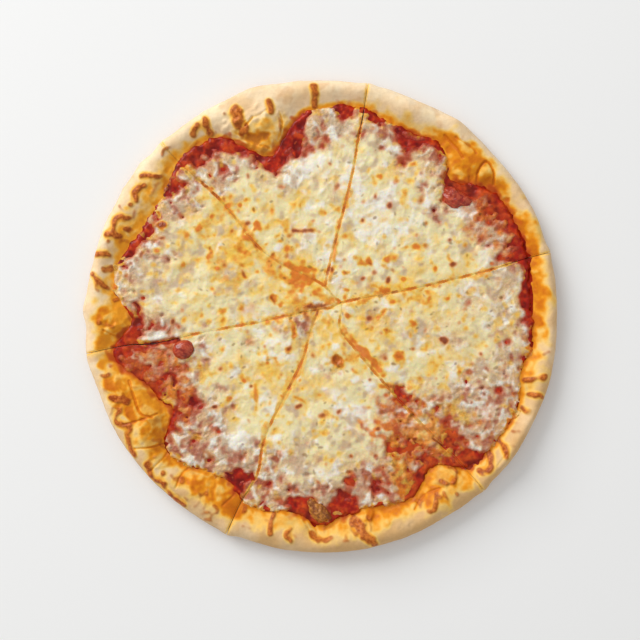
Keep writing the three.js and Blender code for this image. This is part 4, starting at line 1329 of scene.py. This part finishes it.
def cheeseFinish():
    look = Finish("meltedCheese", cheesePaints)
    share = look.share
    wet, oil, bare, film = share("wet"), share("oil"), share("bare"), share("film")
    pink, white, toast = share("pink"), share("white"), share("toast")
    fine = look.noise(1.4, 3)
    wander = look.noise(5, 3) - 0.5
    colour = look.over("cheese", "gold", share("gold") + wander * 0.6, 0.0, 0.95)
    colour = look.mix(wet * 0.8, colour, "wet")
    # whiter cheese, and painted highlight on the strands' tops
    colour = look.over(colour, "white", white + wander * 0.5, 0.2, 1.0)
    # a grey tint, and painted shade between the strands
    colour = look.over(colour, "grey", share("grey") + wander * 0.6, 0.05, 1.0, 0.85)
    mauve = look.over("paleMauve", "mauve", pink + bare * 0.6 + wander, 0.4, 1.3)
    colour = look.over(colour, mauve, pink + wander * 0.5, 0.05, 0.95, 0.9)
    torn = bare + wander * 0.3
    colour = look.over(colour, "thinOverSauce", torn, 0.05, 0.7, 0.9)
    colour = look.over(colour, "sauce", torn, 0.45, 0.95)
    amber = look.over("oil", "darkOil", oil + wander, 0.4, 1.0)
    colour = look.over(colour, amber, oil + wander * 0.5, 0.08, 0.8, 0.95)
    orange = look.over("film", "darkFilm", look.noise(7, 3), 0.35, 0.65)
    # paler film, and painted highlight where the white share is high
    orange = look.over(orange, "paleFilmAndHighlight", white + wander, 0.4, 1.2, 0.5)
    colour = look.over(colour, orange, film + wander * 0.6, 0.05, 0.75, 0.95)
    colour = look.over(colour, "filmedSauce", torn + film * 0.3, 0.8, 1.2)
    brown = look.over("toast", "darkToast", toast + wander, 0.4, 1.0)
    colour = look.over(colour, brown, toast + wander * 0.3, 0.05, 0.9, 0.95)
    colour = look.over(colour, "herb", share("herb"), 0.05, 0.7, 0.6)
    # painted shade: fine random darker speckles, stronger where it is wet
    colour = look.over(colour, "fine", fine, 0.3, 0.7, 0.07 + wet * 0.17, "MULTIPLY")
    height = (fine * 0.6 + look.noise(0.8, 3) * 0.5) * (wet * 0.6 + 0.4)
    return look.close({
        "Base Color": colour,
        "Roughness": 0.46 - wet * 0.2 - oil * 0.1 + fine * 0.08,
        "Normal": look.bump(height, 0.8, 0.95),
        "Specular IOR Level": 0.35,
        "Subsurface Weight": 0.3,
        "Subsurface Radius": (1.0, 0.55, 0.2),
        "Subsurface Scale": 1.4 * mm,
    })


tomatoPaints = {
    "flesh": (148, 26, 10),
    "paleFlesh": (196, 84, 50),
    "blotch": (94, 24, 12),
    "roast": (122, 64, 10),
    "paleRoast": (196, 132, 44),
}


def tomatoFinish():
    look = Finish("roastTomato", tomatoPaints)
    fine = look.noise(1.8, 4)
    streaks = look.noise(3.4, 3, 0.6, 1.0) * 0.8 + look.share("grain") * 0.2
    roast = look.share("roast")
    colour = look.over("flesh", "paleFlesh", streaks, 0.35, 0.65)
    colour = look.over(colour, "blotch", look.noise(7, 2), 0.5, 0.75, 0.7)
    roasted = look.over("roast", "paleRoast", streaks, 0.35, 0.65)
    colour = look.over(colour, roasted, roast + fine * 0.3, 0.5, 1.1, 0.85)
    height = (streaks + fine * 0.5) * (look.share("lumpy") + 0.1)
    return look.close({
        "Base Color": colour,
        "Roughness": 0.1 + fine * 0.15 + roast * 0.3,
        "Normal": look.bump(height, 1.0, 0.9),
        "Specular IOR Level": 0.5,
    })


tomatoForm = {
    "fineness": 5,  # how often the faces of the ball it starts from are split
    "lobes": 3,
    "lobeSwell": 0.22,
    "sunk": 0.4,  # how deep it sits in the sauce
    "belly": 1.2,  # how far it reaches below that
    "shoulders": 0.8,  # below 1 they are fuller than a ball's
    "crag": 0.5,  # how far its top is up and down
}
tomatoes = [  # at, length, width and height, the bearing of its length, how lumpy, how roasted
    ((86, 77.5), (19, 12, 4.5), 155, 0.5, 0.35), ((-87.5, -19.2), (14, 12.5, 5.5), 20, 0.12, 0.1),
    ((-1, -122.5), (18, 10, 4.5), 135, 0.6, 1),
]


def makeTomato(number, at, size, turn, lumpy, roast, material):
    shape = bmesh.new()
    bmesh.ops.create_icosphere(shape, subdivisions=tomatoForm["fineness"], radius=1)
    mesh = meshOf(shape, "lump")
    x, y, z = placesOf(mesh).T
    grain = 0.5 + 0.3 * lumpy * sample(warp, 7 * x + 40 * number, 34 * y)
    lobes = np.cos(tomatoForm["lobes"] * np.arctan2(y, x) + 2.4 * number) * np.hypot(x, y)
    swell = 1 + tomatoForm["lobeSwell"] * lumpy * lobes
    swell += 0.1 * lumpy * np.sin(5 * x + 2 * y + number) + 0.08 * lumpy * np.sin(9 * y - 4 * z)
    x, y = x * swell * size[0] / 2, y * swell * size[1] / 2
    angle = math.radians(turn)
    x, y = x * math.cos(angle) - y * math.sin(angle), x * math.sin(angle) + y * math.cos(angle)
    x, y = x + at[0], y + at[1]
    ground = sample(blurred(sauceField["top"], 2), np.array([at[0]]), np.array([at[1]]))[0]
    crag = sample(warp, x * 1.3, y * 1.3) + sample(warp, y * 2.1, x * 2.1)
    crag *= tomatoForm["crag"] * lumpy
    rise = np.clip(z, 0, None) ** tomatoForm["shoulders"] * (size[2] + crag)
    z = ground - tomatoForm["sunk"] + np.where(z > 0, rise, z * tomatoForm["belly"])
    setPlaces(mesh, x, y, z)
    setShares(mesh, roast=np.full(len(x), roast), lumpy=np.full(len(x), lumpy), grain=grain)
    addPiece(f"tomatoLump{number}", mesh, material, "tomato", f"tomato_{number}")


crustLook = crustFinish()
sauceLook = sauceFinish()
cheeseLook = cheeseFinish()
tomatoLook = tomatoFinish()
print("finishes mixed")

for number, each in enumerate(slices, 1):
    shape = shapeOf(each)
    makeCrust(shape, number, crustLook)
    makeLayer(shape, number, sauceLook, "sauce", sauce, sauceField)
    makeLayer(shape, number, cheeseLook, "cheese", cheese, cheeseField)
    print("slice", number, "made")
for number, (at, size, turn, lumpy, roast) in enumerate(tomatoes, 1):
    makeTomato(number, at, size, turn, lumpy, roast, tomatoLook)
print("tomatoes made")

# The table, the light and the camera.
studio = {
    "tableSize": 6,
    "tableColour": shade(243, 243, 242),
    "keyAt": (-1.9, 2.0, 1.65),
    "keySize": 2.0,
    "keyPower": 84,
    "skyStrength": 0.57,
    "cameraAt": (-0.00032, -0.00032, 0.8034),
    "lens": 70,
    "sensor": 36,
}


def makeTable():
    shape = bmesh.new()
    bmesh.ops.create_grid(shape, x_segments=1, y_segments=1, size=studio["tableSize"] / 2)
    mesh = meshOf(shape, "table")
    look = Finish("paleTable")
    mesh.materials.append(look.close({"Base Color": studio["tableColour"], "Roughness": 0.6}))
    addObject("table", mesh)


def makeLight():
    lamp = bpy.data.lights.new("key", "AREA")
    lamp.size = studio["keySize"]
    lamp.energy = studio["keyPower"]
    key = addObject("key", lamp)
    key.location = studio["keyAt"]
    toward = -key.location.normalized()
    key.rotation_euler = toward.to_track_quat("-Z", "Y").to_euler()
    world = bpy.data.worlds.new("studio")
    world.use_nodes = True
    sky = world.node_tree.nodes["Background"]
    sky.inputs["Color"].default_value = (1, 1, 1, 1)
    sky.inputs["Strength"].default_value = studio["skyStrength"]
    bpy.context.scene.world = world
    bpy.context.scene.view_settings.view_transform = "Standard"


def makeCamera():
    lens = bpy.data.cameras.new("camera")
    lens.lens = studio["lens"]
    lens.sensor_width = studio["sensor"]
    camera = addObject("camera", lens)
    camera.location = studio["cameraAt"]
    bpy.context.scene.camera = camera


makeTable()
makeLight()
makeCamera()
print("table, light and camera set")
